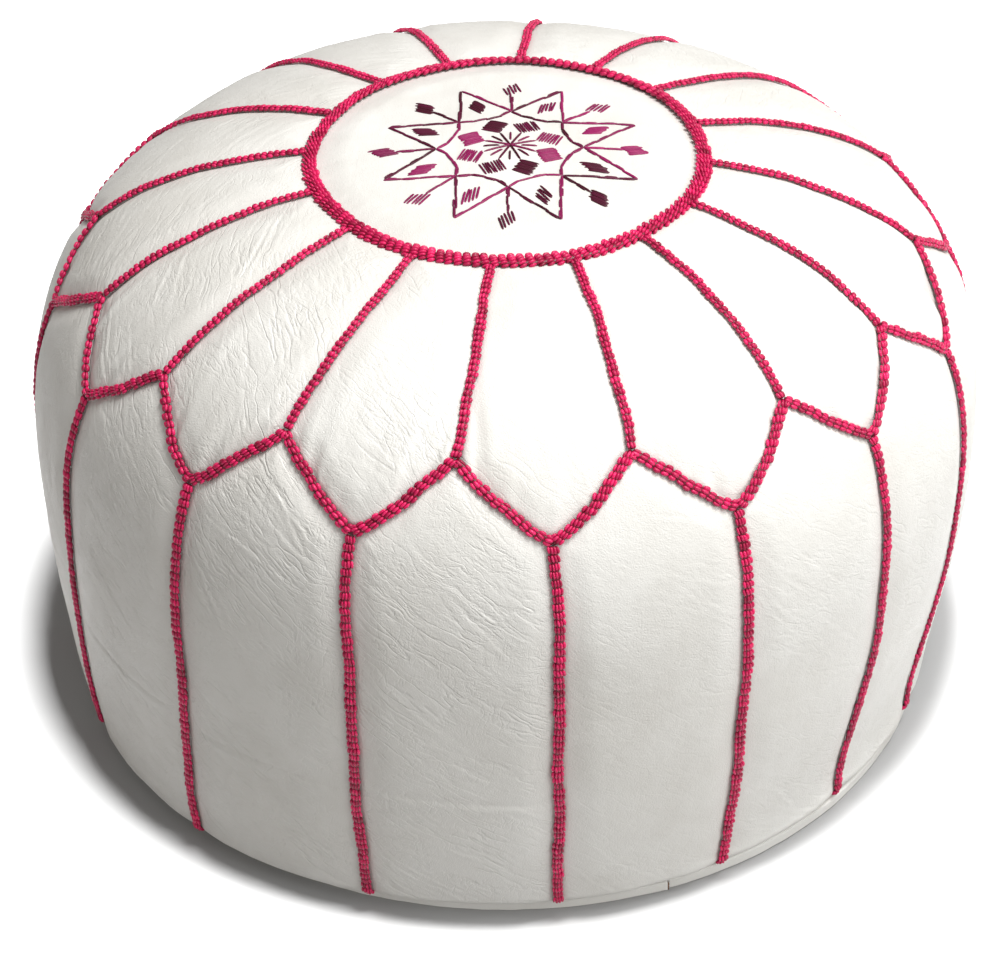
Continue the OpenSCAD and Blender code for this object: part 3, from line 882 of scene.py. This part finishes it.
def core_tube(course, half_width, half_height, pitch):
    """A cord along the braid, pinched between the beads and coloured close to the thread's shade colour:
    painted shade that darkens the gaps between the beads.
    """
    count = 2 * max(2, round(course.length / pitch)) + (0 if course.closed else 1)
    distance = np.linspace(0, course.length, count, endpoint=not course.closed)
    place, heading, side, out = course.frame(distance)
    turn = 2 * math.pi * np.arange(10) / 10
    pinch = np.where(np.arange(count) % 2 == 0, 0.86, 1.0)[:, None, None]
    ring = (np.cos(turn)[None, :, None] * side[:, None] * half_width
            + np.sin(turn)[None, :, None] * out[:, None] * half_height) * pinch
    points = (place[:, None] + ring).reshape(-1, 3)
    if course.closed:
        joined = ring_faces(10, count)
        quads = (joined % count) * 10 + joined // count
        last = np.stack([np.arange(count) * 10 + 9, np.roll(np.arange(count), -1) * 10 + 9,
                         np.roll(np.arange(count), -1) * 10, np.arange(count) * 10], -1)
        quads = np.concatenate([quads, last[:, ::-1]])[:, ::-1]
        tris = np.empty((0, 3), int)
    else:
        quads = ring_faces(count, 10, flip=True)
        points = np.concatenate([points, place[:1], place[-1:]])
        tris = np.concatenate([fan_faces(np.arange(10), count * 10),
                               fan_faces(np.arange((count - 1) * 10, count * 10), count * 10 + 1, flip=True)])
    uv = np.zeros((len(points), 2))
    uv[:, 1] = np.arange(len(points)) * 0.1
    # The core's tone of 0.04 gives it the thread's shade colour: painted shade for the gaps between the
    # beads.
    return points, quads, tris, uv, np.full(len(points), 0.04)


def braid(name, course, width, tall, pitch, rows, tilt, stagger=0.0, close=0.95, crest=0.0):
    """A plaited seam: beads of short strands side by side over a core coloured with painted shade, which
    shows dark in the gaps between the beads.

    Each row of strands is staggered along the seam. The beads stand highest at crest, from -1 to 1 across it.
    """
    count = max(2, round(course.length / pitch))
    step = course.length / count
    centres = (np.arange(count) + 0.5) * step
    parts = [core_tube(course, 0.38 * width, 0.34 * tall, step)]
    bead_size = 1 + rng.normal(0, 0.06, count)
    bead_shift = rng.normal(0, 0.16 * MM, count)
    bead_tone = rng.normal(0.66, 0.10, count)
    bead_turn = math.radians(tilt) + rng.normal(0, 0.07, count)
    for row in range(rows):
        offset = 2 * row / (rows - 1) - 1
        distance = centres + stagger * step * (row - (rows - 1) / 2) + rng.normal(0, 0.035 * step, count)
        place, heading, side, out = course.frame(distance)
        lean = offset * math.radians(38) + rng.normal(0, 0.06, count)
        up = out * np.cos(lean)[:, None] + side * np.sin(lean)[:, None]
        flat = side * np.cos(lean)[:, None] - out * np.sin(lean)[:, None]
        turn = bead_turn + rng.normal(0, 0.06, count)
        along = heading * np.cos(turn)[:, None] + flat * np.sin(turn)[:, None]
        over = flat * np.cos(turn)[:, None] - heading * np.sin(turn)[:, None]
        half_wide = 0.55 * width / rows
        reach = (0.5 * width - half_wide) * bead_size
        stand = tall * (0.28 - 0.24 * (offset - crest) ** 2 / (1 + abs(crest)))
        middle = place + side * (offset * reach + bead_shift)[:, None] + out * stand * bead_size[:, None]
        size = (bead_size * (1 + rng.normal(0, 0.05, count)))[:, None]
        tone = np.clip(bead_tone + rng.normal(0, 0.15, count), 0.15, 1)
        parts.append(BEAD.laid(middle, along * step * 0.5 * close, over * size * half_wide,
                               up * size * tall * 0.42, tone))
    return strands_piece(name, parts, pink_thread)


# ---- Embroidery ----

STAR_MIDDLE = np.array([4.6, 0.2]) * MM
STAR_REACH = 0.075
STAR_POINTS = 8
STAR_STEP = 2 * math.pi / STAR_POINTS
STAR_R, CORNER_R, ARC_R = 72 * MM, 39 * MM, 32.5 * MM
STITCH = Strand(9, 8, 7, droop=0.75)


def point_turn(k):
    return FRONT + math.radians(27) + k * STAR_STEP


def corner_turn(k):
    return point_turn(k) - STAR_STEP / 2


def facing(turn, u, v):
    """A motif's point, u out and v to the left, turned to face turn."""
    c, s = math.cos(turn), math.sin(turn)
    return np.stack([u * c - v * s, u * s + v * c], -1)


def drawn(points):
    """Where the hand put them: the star sits off centre and reaches further to the front."""
    away = np.linalg.norm(points, axis=-1)[..., None]
    return STAR_MIDDLE + points + np.concatenate([np.zeros_like(away), -STAR_REACH * away], -1)


class Needlework:
    """Collects the stitches of one embroidery piece."""

    def __init__(self):
        self.rows = []

    def stitch(self, p, q, tone, width=0.80 * MM, height=0.55 * MM):
        self.rows.append((*p, *q, tone, width, height))

    def run(self, points, length, tones):
        """Overlapping stem stitches along a line of points."""
        steps = np.concatenate([[0], np.cumsum(np.linalg.norm(np.diff(points, axis=0), axis=1))])
        count = max(1, round(steps[-1] / length))
        for i in range(count):
            ends = np.clip(np.array([i - 0.10, i + 1.14]) / count, 0, 1) * steps[-1]
            p, q = (np.array([np.interp(end, steps, points[:, axis]) for axis in (0, 1)]) for end in ends)
            across = np.array([p[1] - q[1], q[0] - p[0]]) / np.linalg.norm(q - p)
            slip = rng.normal(0, 0.22 * MM)
            tone = tones[0] + (tones[1] - tones[0]) * (i + 0.5) / count + rng.normal(0, 0.08)
            self.stitch(p + across * (slip - 0.15 * MM), q + across * (slip + 0.15 * MM), tone,
                        rng.uniform(0.66, 0.92) * MM)
            if rng.random() < 0.55:
                a, b = p + (q - p) * 0.12, p + (q - p) * 0.72
                shift = across * rng.choice([-1, 1]) * 0.60 * MM
                self.stitch(a + shift, b + shift, tone + rng.normal(0, 0.06), 0.62 * MM)

    def block(self, turn, first, last, count, length, slant, tone, width, ragged):
        """Parallel slanted stitches side by side, their middles spread from one point to another."""
        first, last = np.array(first) * MM, np.array(last) * MM
        for i in range(count):
            middle = first + (last - first) * (i / (count - 1)) + rng.normal(0, 0.12 * MM, 2)
            angle = math.radians(slant) + rng.normal(0, 0.035)
            half = length / 2 * MM * np.array([math.cos(angle), math.sin(angle)])
            near, far = middle - half * rng.uniform(1 - ragged, 1), middle + half * rng.uniform(1 - ragged, 1)
            p, q = drawn(facing(turn, *near)), drawn(facing(turn, *far))
            self.stitch(p, q, tone + rng.normal(0, 0.05), width * MM, 0.44 * MM)

    def piece(self, name):
        rows = np.array(self.rows)
        p, q = rows[:, 0:2], rows[:, 2:4]
        tone = np.clip(rows[:, 4], 0.0, 1.0)
        middle = (p + q) / 2
        height = medallion_height(middle[:, 0], middle[:, 1])
        rise = medallion_height(q[:, 0], q[:, 1]) - medallion_height(p[:, 0], p[:, 1])
        along = np.concatenate([(q - p) / 2, rise[:, None] / 2], -1)
        across = unit(np.stack([-along[:, 1], along[:, 0], np.zeros(len(rows))], -1))
        up = unit(np.cross(along, across))
        places = np.concatenate([middle, height[:, None]], -1) + up * rows[:, 6:7] * 0.45
        parts = [STITCH.laid(places, along, across * rows[:, 5:6], up * rows[:, 6:7], tone)]
        return strands_piece(name, parts, plum_thread)


def embroidery():
    """The star, its rays, the rosette, the starburst and the plumes."""
    def tone_at(turn, shift=0.0):
        return float(0.34 + 0.34 * np.sin(1.5 * turn + 0.7 + shift))

    outline_work = Needlework()
    for k in range(STAR_POINTS):
        turn = point_turn(k)
        tip = facing(turn, STAR_R * (1 + rng.normal(0, 0.015)), 0.0)
        for side in (-1, 1):
            corner = facing(turn + side * STAR_STEP / 2, CORNER_R, 0.0)
            tones = (tone_at(turn, side), tone_at(turn, side + rng.uniform(-1, 1)))
            outline_work.run(drawn(np.array([tip, corner])), 10.5 * MM, tones)
        swing = np.linspace(-1, 1, 9)
        radius = ARC_R + (CORNER_R - ARC_R) * (0.35 * swing**2 + 0.65 * swing**6)
        arc = np.stack([radius * np.cos(turn + swing * STAR_STEP / 2),
                        radius * np.sin(turn + swing * STAR_STEP / 2)], -1)
        outline_work.run(drawn(arc), 8.5 * MM, (tone_at(turn, 2), tone_at(turn, 2.6)))
    rays, rosette, burst, plumes = Needlework(), Needlework(), Needlework(), Needlework()
    dense = [True, True, False, False] * 2
    dark = [0.02, 0.72, 0.60, 0.20] * 2
    ray_tones = (0.12, 0.05, 0.75, 0.40, 0.02, 0.10, 0.70, 0.62)
    plume_tones = (0.15, 0.02, 0.75, 0.55, 0.30, 0.02, 0.42, 0.55)
    for k in range(STAR_POINTS):
        turn, corner = point_turn(k), corner_turn(k)
        mirror = -1 if k in (2, 6) else 1
        full, thick = k in (1, 2, 4, 5, 6), k in (1, 2, 5, 6)
        rays.block(turn, (52.5, -3 * mirror), (46, 2 * mirror), 8 if full else 5, 13.5, 15 * mirror,
                   ray_tones[k], 0.74 if full else 0.70, 0.25)
        rosette.block(turn, (26.2, -3.8), (18.8, 3.8), 11 if dense[k] else 8, 12.2, 45,
                      dark[k], 0.74 if dense[k] else 0.64, 0.14)
        burst.stitch(drawn(facing(turn, -1.0 * MM, 0.0)), drawn(facing(turn, 15 * MM, 0.0)),
                     dark[k] * 0.7, 0.66 * MM)
        burst.stitch(drawn(facing(corner, 5.5 * MM, 0.0)), drawn(facing(corner, 14.5 * MM, 0.0)),
                     tone_at(corner) * 0.8, 0.62 * MM)
        stem = np.array([facing(corner, CORNER_R + 0.5 * MM, 0.0), facing(corner, 60.5 * MM, 0.0)])
        plumes.run(drawn(stem), 9 * MM, (plume_tones[k] + 0.1, plume_tones[k]))
        plumes.block(corner, (69.0, -3.2), (63.5, 3.2), 8 if thick else 5, 13, 14,
                     plume_tones[k], 0.74 if thick else 0.68, 0.30)
    return [(outline_work.piece("star_outline_threads"), "star_outline_stitches"),
            (rays.piece("star_ray_threads"), "star_ray_stitches"),
            (rosette.piece("rosette_threads"), "rosette_stitches"),
            (burst.piece("starburst_threads"), "starburst_stitches"),
            (plumes.piece("plume_threads"), "plume_stitches")]


# ---- Base ----

BAND_OUT = BAND_HIGH.x
BAND_IN = BAND_OUT - 4 * MM
JOINT_TURN = FRONT + math.radians(26)
TAPE_LOW, TAPE_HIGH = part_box("zipper_tape_back")
POCKET_HALF = TAPE_HIGH.x - 4 * MM
SLOT_HALF = 6.5 * MM
LEDGE_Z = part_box("base_panel_back")[1].z - LEATHER_T
POCKET_STEP = 12 * MM
POCKET_FOOT = 24 * MM
BASE_R = BAND_IN - 0.3 * MM


def band_piece():
    """The folded leather band under the hem, butted and overlapped at its joint."""
    steps = 960
    gap = 0.3 * MM / BAND_OUT
    sweep = np.linspace(gap, 2 * math.pi - gap, steps)
    turn = JOINT_TURN + sweep
    corner = 1.5 * MM
    section = []
    inner_r, outer_r, upper_z = BAND_IN + corner, BAND_OUT - corner, BAND_HIGH.z - corner
    corners = ((outer_r, upper_z, 0), (inner_r, upper_z, 90), (inner_r, corner, 180), (outer_r, corner, 270))
    for centre_r, centre_z, start in corners:
        for a in np.radians(start + np.linspace(0, 90, 5)):
            section.append((centre_r + corner * math.cos(a), centre_z + corner * math.sin(a)))
        if start == 270:
            section.extend([(BAND_OUT, z) for z in np.linspace(corner, BAND_HIGH.z - corner, 6)[1:-1]])
    section = np.array(section)
    around = np.stack([np.cos(turn), np.sin(turn), np.zeros(steps)], -1) * BAND_OUT
    wave = 0.45 * MM * noise(around, 1 / 0.030, 71) + 0.18 * MM * noise(around, 1 / 0.008, 72)
    lapped = 1.3 * MM * np.exp(-(2 * math.pi - sweep) * BAND_OUT / 0.022)
    outward = ease((section[:, 0] - BAND_IN) / (BAND_OUT - BAND_IN))
    r = section[None, :, 0] + (wave + lapped)[:, None] * outward[None]
    z = section[None, :, 1] * (1 - 0.02 * np.abs(wave / MM))[:, None]
    points = np.stack([r * np.cos(turn)[:, None], r * np.sin(turn)[:, None], z], -1)
    count = len(section)
    faces = [ring_faces(steps, count),
             np.arange(count)[None], ((steps - 1) * count + np.arange(count))[None, ::-1]]
    return make_mesh("base_band_leather", points.reshape(-1, 3), faces, leather)


def band_stitches():
    """Brown thread over the band's joint: three short upright stitches, one above another, each leaning a
    little more.
    """
    z = np.array([1.6, 3.4, 5.2]) * MM
    r = BAND_OUT + 0.9 * MM
    out = np.array([math.cos(JOINT_TURN), math.sin(JOINT_TURN), 0])
    side = np.array([-out[1], out[0], 0])
    middles = out * r + side * 0.2 * MM + np.outer(z, [0, 0, 1])
    lean = np.array([[0.0], [0.15], [0.32]])
    along = np.array([0, 0, 1.05 * MM]) - side * lean * MM
    parts = [STITCH.laid(middles, along, np.tile(side, (3, 1)) * 0.42 * MM, np.tile(out, (3, 1)) * 0.42 * MM,
                         np.array([0.5, 0.8, 0.4]))]
    return strands_piece("band_joint_thread", parts, brown_thread)


def base_height(away):
    """Height of the base leather's lower face at a distance from the middle line of the zip."""
    return LEDGE_Z * (1 - ease((away - POCKET_STEP) / (POCKET_FOOT - POCKET_STEP)))


def base_half(side):
    """One half of the base, from the zip's slot to the band. side is 1 at the back, -1 at the front."""
    cols, rows = 401, 113
    t = np.linspace(0, 1, cols)
    slot = np.linspace(0, 1, 25)
    offsets = np.concatenate([SLOT_HALF + (POCKET_FOOT + 4 * MM - SLOT_HALF) * slot,
                              np.full(rows - 25, POCKET_FOOT + 4 * MM)])
    share = np.concatenate([np.zeros(25), np.linspace(0, 1, rows - 24)[1:]])
    arc = 0.09
    end = np.clip(t / arc, 0, 1) * math.pi / 2
    far_end = np.clip((t - 1 + arc) / arc, 0, 1) * math.pi / 2
    x_line = POCKET_HALF * (1 - 2 * np.clip((t - arc) / (1 - 2 * arc), 0, 1))
    reach = np.cos(end) * (t < arc) - np.sin(far_end) * (t > 1 - arc)
    stadium_x = x_line[None] + offsets[:, None] * reach[None]
    lift = np.where(t < arc, np.sin(end), np.where(t > 1 - arc, np.cos(far_end), 1.0))
    stadium_y = offsets[:, None] * lift[None]
    circle_x, circle_y = BASE_R * np.cos(math.pi * t), BASE_R * np.sin(math.pi * t)
    x = stadium_x + (circle_x[None] - stadium_x) * share[:, None]
    y = stadium_y + (circle_y[None] - stadium_y) * share[:, None] + 0.15 * MM
    z = base_height(offsets)[:, None] + np.zeros_like(x)
    flat = np.stack([x, y * side, np.zeros_like(x)], -1)
    rim = np.maximum(BASE_R - np.hypot(x, y), 0)
    gathers = 0.5 * MM * (1 + noise(flat, 1 / 0.012, 74)) * np.exp(-rim / 0.010)
    rise = 0.35 * MM * (1 + noise(flat, 1 / 0.040, 73)) + gathers
    seam = 0.7 * MM * np.exp(-y / 0.004) * (share[:, None] > 0)
    z = z + (rise + seam) * ease(share * 12)[:, None]
    outer = np.stack([x, y * side, z], -1)
    name = "base_leather_back" if side > 0 else "base_leather_front"
    return two_faced(name, outer, np.array([0, 0, LEATHER_T]), leather, flip=side > 0)


def tape_piece(side):
    """One woven zip tape, with its edge rippled a little."""
    low, high = (TAPE_LOW, TAPE_HIGH) if side > 0 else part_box("zipper_tape_front")
    x, y = np.meshgrid(np.linspace(low.x, high.x, 345), np.linspace(low.y, high.y, 21), indexing="xy")
    flat = np.stack([x, y, np.zeros_like(x)], -1)
    z = low.z + 0.12 * MM * (1 + noise(flat, 1 / 0.012, 75)) * ease((np.abs(y) - 5 * MM) / (5 * MM))
    ribs = 0.05 * MM * np.sin(2 * math.pi * y / (1.4 * MM))
    outer = np.stack([x, y, z + ribs + 0.05 * MM], -1)
    name = "zipper_tape_back_cloth" if side > 0 else "zipper_tape_front_cloth"
    return two_faced(name, outer, np.array([0, 0, high.z - low.z - 0.1 * MM]), tape_cloth, flip=False)


def dashes(name, starts, headings, length, half_width, material):
    """Separate straight stitches of one length."""
    starts, headings = np.array(starts), np.array(headings)
    middles = starts + headings * length / 2
    up = np.tile([0, 0, 1.0], (len(starts), 1))
    across = np.cross(up, headings)
    tone = np.clip(rng.normal(0.7, 0.12, len(starts)), 0.2, 1)
    parts = [STITCH.laid(middles, headings * length / 2, across * half_width, -up * half_width, tone)]
    return strands_piece(name, parts, material)


def zip_stitches():
    low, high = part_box("zipper_stitches")
    x = np.arange(low.x, high.x - 2.9 * MM, 4.6 * MM)
    starts = [(a, side * 9.2 * MM, (low.z + high.z) / 2) for side in (-1, 1) for a in x]
    headings = [(1.0, 0.02 * side, 0) for side in (-1, 1) for a in x]
    return dashes("zipper_thread", starts, unit(np.array(headings)), 3.4 * MM, 0.42 * MM, white_thread)


def base_seam_threads():
    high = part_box("base_seam_stitches")[1]
    x = np.arange(POCKET_HALF + POCKET_FOOT + 4.5 * MM, high.x, 5 * MM)
    starts = [(side * a, -3 * MM, LEATHER_T + 1.5 * MM) for side in (-1, 1) for a in x]
    headings = [(0.25, 1.0, 0)] * len(starts)
    return dashes("base_seam_thread", starts, unit(np.array(headings)), 6.2 * MM, 0.45 * MM, white_thread)


# ---- What the leather holds ----


def bag_shell(depth, floor_z, seed, lump):
    """Rings of points round the inside of the cover, from the middle of the top to the middle of the base."""
    around = 192
    turn = 2 * math.pi * np.arange(around) / around
    s = np.linspace(TOP_S - 4 * MM, HEM_R, 90)
    wall = skin(turn[None], s[:, None], -depth)
    radii = np.linspace(BAND_IN - depth - 3 * MM, 3 * MM, 50)
    x, y = np.outer(radii, np.cos(turn)), np.outer(radii, np.sin(turn))
    past_end = np.maximum(np.abs(x) - POCKET_HALF, 0)
    away = np.hypot(past_end, y)
    pocket = 1 - ease((away - POCKET_FOOT - 2 * MM) / (12 * MM))
    under = np.stack([x, y, floor_z + (9.5 * MM) * pocket], -1)
    rings = np.concatenate([wall, under])
    out = unit(np.stack([rings[..., 0], rings[..., 1], 3 * (rings[..., 2] - WAIST_Z)], -1))
    swell = lump * (noise(rings, 1 / 0.045, seed) + 0.5 * noise(rings, 1 / 0.016, seed + 1) - 1.5)
    rings = rings + out * swell[..., None]
    rings[..., 2] = np.maximum(rings[..., 2], floor_z)
    top, foot = rings[0].mean(0), rings[-1].mean(0)
    points = np.concatenate([rings.reshape(-1, 3), [top, foot]])
    count = rings.shape[0] * around
    faces = [ring_faces(rings.shape[0], around),
             fan_faces(np.arange(around), count, flip=False),
             fan_faces(np.arange(count - around, count), count + 1, flip=True)]
    return points, faces


def stuffing_piece():
    points, faces = bag_shell(8.5 * MM, 5.0 * MM, 81, 1.0 * MM)
    return make_mesh("stuffing_wadding", points, faces, wadding)


def liner_piece():
    """The cotton bag round the stuffing, as an outer and an inner face."""
    outer, faces = bag_shell(5.6 * MM, 2.6 * MM, 83, 0.5 * MM)
    inner, inner_faces = bag_shell(6.4 * MM, 3.4 * MM, 83, 0.5 * MM)
    faces = faces + [f[:, ::-1] + len(outer) for f in inner_faces]
    return make_mesh("liner_bag_cotton", np.concatenate([outer, inner]), faces, liner_cloth)


# ---- Making the pouf ----


def settled(pieces_of):
    """Each piece rides on the pouf and stands for its CAD nodes, which are hidden."""
    for obj, slot, nodes in pieces_of:
        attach(obj, "pouf")
        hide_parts(*nodes)


cad_name = "{}_{:02d}".format
HEM_LIFT = 1.7 * MM
patches, sheets = [], []
for j in range(PANELS):
    patches.append(petal_patch(j))
for k in range(PANELS):
    patches.append(side_patch(k))
grids = [sewn(skin(p[..., 0], p[..., 1]), i >= PANELS) for i, p in enumerate(patches)]
grids = swollen(grids)
for p, grid in zip(patches[PANELS:], grids[PANELS:]):
    # The hem is pushed up a little just before the band's joint.
    away = (p[..., 0] - JOINT_TURN + math.radians(2.4) + math.pi) % (2 * math.pi) - math.pi
    grid[..., 2] += HEM_LIFT * np.exp(-(away / math.radians(3.3)) ** 2) * (1 - ease(p[..., 1] / 0.035))

# How creased each panel's leather is, from 0 to 1.
PETAL_CREASES = (0.35, 0.3, 0.3, 0.4, 0.5, 0.4, 0.6, 0.5, 0.4, 0.5, 0.6, 0.5, 0.6, 0.7, 0.8, 0.6)
SIDE_CREASES = (0.75, 0.25, 0.35, 0.4, 0.5, 0.4, 0.6, 0.4, 0.5, 0.7, 0.5, 0.4, 0.6, 0.7, 0.8, 1.0)
petal_top, petal_wide = RING_R * PITCH, NOTCH_R * PITCH
petal_drop, tip_drop = S_RING - S_NOTCH, S_NOTCH - S_TIP
side_wide = BODY_R * PITCH
for i, grid in enumerate(grids):
    hem = i >= PANELS
    number = i % PANELS + 1
    stem = "side_panel" if hem else "petal"
    node = cad_name(stem, number)
    creased = (PETAL_CREASES + SIDE_CREASES)[i]
    obj = leather_piece(node + "_leather", grid, 100 + i, hem, creased)
    settled([(obj, "white_leather", [node])])
    if hem:
        flat = (side_wide, S_NOTCH)
        area = side_wide * S_TIP + side_wide * tip_drop / 2
    else:
        flat = (petal_wide, petal_drop + tip_drop)
        area = (petal_top + petal_wide) / 2 * petal_drop + petal_wide * tip_drop / 2
    sheets.append((obj, flat, area))

medallion = medallion_piece()
settled([(medallion, "white_leather", ["top_medallion"])])
sheets.append((medallion, (2 * RING_R, 2 * RING_R), math.pi * RING_R**2))

SEAM_LIFT = 0.6 * MM
t = np.linspace(0, 1, 200)
for k in range(PANELS):
    name = cad_name("radial_seam_braid", k + 1)
    seam = S_RING - S_NOTCH
    course = Course(radial_seam(k, (3.2 * MM + (seam - 4.6 * MM) * t) / seam), SEAM_LIFT)
    tilt = -14 if k % 3 == 0 else 9
    seam_braid = braid(name, course, 5.1 * MM, 2.5 * MM, 3.5 * MM, 3, tilt)
    settled([(seam_braid, "pink_braid", ["radial_seam_braids"])])
for j in range(PANELS):
    name = cad_name("side_seam_braid", j + 1)
    inset = 2.2 * MM / S_TIP
    down = inset + (1 - inset) * np.linspace(0, 1, 400)
    course = Course(side_seam(j, down), SEAM_LIFT - 3.4 * MM * ease((down - 0.955) / 0.045))
    settled([(braid(name, course, 5.7 * MM, 2.7 * MM, 4.2 * MM, 4, 6), "pink_braid", ["side_seam_braids"])])
for j in range(PANELS):
    name = cad_name("zigzag_seam_braid", j + 1)
    left = Course(vee_arm(j, 0, t), SEAM_LIFT + 0.15 * MM)
    right = Course(vee_arm(j, 1, t)[::-1], SEAM_LIFT + 0.15 * MM)
    settled([(braid(name, left, 5.7 * MM, 2.7 * MM, 4.4 * MM, 3, 3, stagger=0.12),
              "pink_braid", ["zigzag_seam_braids"])])
    settled([(braid(cad_name("zigzag_seam_return", j + 1), right, 5.8 * MM, 2.8 * MM, 4.3 * MM, 4, 8,
                    stagger=-0.17), "pink_braid", ["zigzag_seam_braids"])])
ring_turn = FRONT + 2 * math.pi * np.linspace(0, 1, 721)
ring_line = np.stack([ring_turn, ring_s(ring_turn) + 0.5 * MM * np.sin(7 * ring_turn)], -1)
ring = braid("medallion_ring_bead_braid", Course(ring_line, 0.3 * MM, closed=True),
             RING_W, 3.7 * MM, 4.6 * MM, 5, 20, stagger=-0.08, crest=0.45)
settled([(ring, "pink_braid", ["medallion_ring_braid"])])

for obj, node in embroidery():
    settled([(obj, "plum_thread", [node])])

band = band_piece()
base_back, base_front = base_half(1), base_half(-1)
tape_back, tape_front = tape_piece(1), tape_piece(-1)
liner, stuffed = liner_piece(), stuffing_piece()
settled([
    (band, "white_leather", ["base_band"]),
    (band_stitches(), "brown_thread", ["band_joint_stitch"]),
    (base_back, "white_leather", ["base_panel_back"]),
    (base_front, "white_leather", ["base_panel_front"]),
    (base_seam_threads(), "white_thread", ["base_seam_stitches"]),
    (tape_back, "zip_tape", ["zipper_tape_back"]),
    (tape_front, "zip_tape", ["zipper_tape_front"]),
    (zip_stitches(), "white_thread", ["zipper_stitches"]),
    (liner, "liner_cotton", ["liner_bag"]),
    (stuffed, "stuffing_fibre", ["stuffing"]),
])
for node in ("zipper_teeth_front", "zipper_teeth_back", "zipper_top_stops", "zipper_bottom_stop",
             "zipper_slider", "zipper_pull_tab"):
    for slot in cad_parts[node].material_slots:
        slot.material = brass

# ---- Floor, camera and lights ----

scene = bpy.context.scene


def floor_piece():
    """A broad pale floor that the pouf stands on."""
    size = 6.0
    points = np.array([[-size, -size, 0], [size, -size, 0], [size, size, 0], [-size, size, 0]])
    floor_look = Nodes("studio_floor", (0.35, 0.35, 0.35), 0.65)
    shade = floor_look.blend(floor_look.noise(3, 2), (0.345, 0.345, 0.345), (0.355, 0.355, 0.355))
    floor_look.link(shade, "Base Color")
    floor_look.fixed(Specular_IOR_Level=0.15)
    floor = make_mesh("studio_floor", points, [np.array([[0, 1, 2, 3]])], floor_look.material)
    floor.location.z = -0.2 * MM
    floor.visible_diffuse = False
    floor.visible_shadow = False
    return floor


VIEW_DISTANCE = 1.6688
VIEW_AZIMUTH = math.radians(-83.38)
VIEW_ELEVATION = math.radians(36.49)
VIEW_ROLL = math.radians(-1.285)
VIEW_TARGET = Vector((-0.0051, -0.0207, 0.1223))

camera_data = bpy.data.cameras.new("studio_camera")
camera = bpy.data.objects.new("studio_camera", camera_data)
scene.collection.objects.link(camera)
camera_data.sensor_width = 36
camera_data.lens = 107.5
away = Vector((math.cos(VIEW_ELEVATION) * math.cos(VIEW_AZIMUTH),
               math.cos(VIEW_ELEVATION) * math.sin(VIEW_AZIMUTH), math.sin(VIEW_ELEVATION)))
camera.location = VIEW_TARGET + away * VIEW_DISTANCE
camera.rotation_euler = ((-away).to_track_quat("-Z", "Y").to_matrix()
                         @ Matrix.Rotation(VIEW_ROLL, 3, "Z")).to_euler()
scene.camera = camera


def soft_light(name, size, power, place, target, colour=(1, 1, 1)):
    data = bpy.data.lights.new(name, "AREA")
    data.shape = "RECTANGLE"
    data.size, data.size_y = size
    data.energy = power
    data.color = colour
    light = bpy.data.objects.new(name, data)
    light.location = place
    light.rotation_euler = (Vector(target) - Vector(place)).to_track_quat("-Z", "Y").to_euler()
    scene.collection.objects.link(light)
    return light


def graded_world():
    """A pale surround, bright on the front right of the pouf and dim behind its left side."""
    world = bpy.data.worlds.new("studio")
    world.use_nodes = True
    nodes, links = world.node_tree.nodes, world.node_tree.links
    direction = nodes.new("ShaderNodeTexCoord").outputs["Generated"]
    towards = nodes.new("ShaderNodeVectorMath")
    towards.operation = "DOT_PRODUCT"
    towards.inputs[1].default_value = (0.78, -0.55, 0.30)
    links.new(direction, towards.inputs[0])
    share = nodes.new("ShaderNodeMapRange")
    share.inputs["From Min"].default_value = -1.0
    links.new(towards.outputs["Value"], share.inputs["Value"])
    grade = nodes.new("ShaderNodeValToRGB")
    grade.color_ramp.elements[0].color = (0.108, 0.087, 0.070, 1)
    grade.color_ramp.elements[1].color = (0.70, 0.70, 0.70, 1)
    links.new(share.outputs["Result"], grade.inputs["Fac"])
    links.new(grade.outputs["Color"], nodes["Background"].inputs["Color"])
    nodes["Background"].inputs["Strength"].default_value = 1.0
    return world


floor = floor_piece()
soft_light("key_overhead", (1.0, 1.0), 57, (0.75, -0.15, 2.35), (0, 0, 0.2))
soft_light("softbox_right", (1.5, 1.5), 20, (1.65, -0.95, 1.3), (0, 0, 0.15))
wash = soft_light("floor_wash", (0.34, 0.34), 270, (0.14, -0.36, 2.45), (0, 0, 0))
wash.light_linking.receiver_collection = bpy.data.collections.new("floor_only")
wash.light_linking.receiver_collection.objects.link(floor)

world = graded_world()
scene.world = world
scene.view_settings.view_transform = "Standard"
scene.view_settings.look = "None"
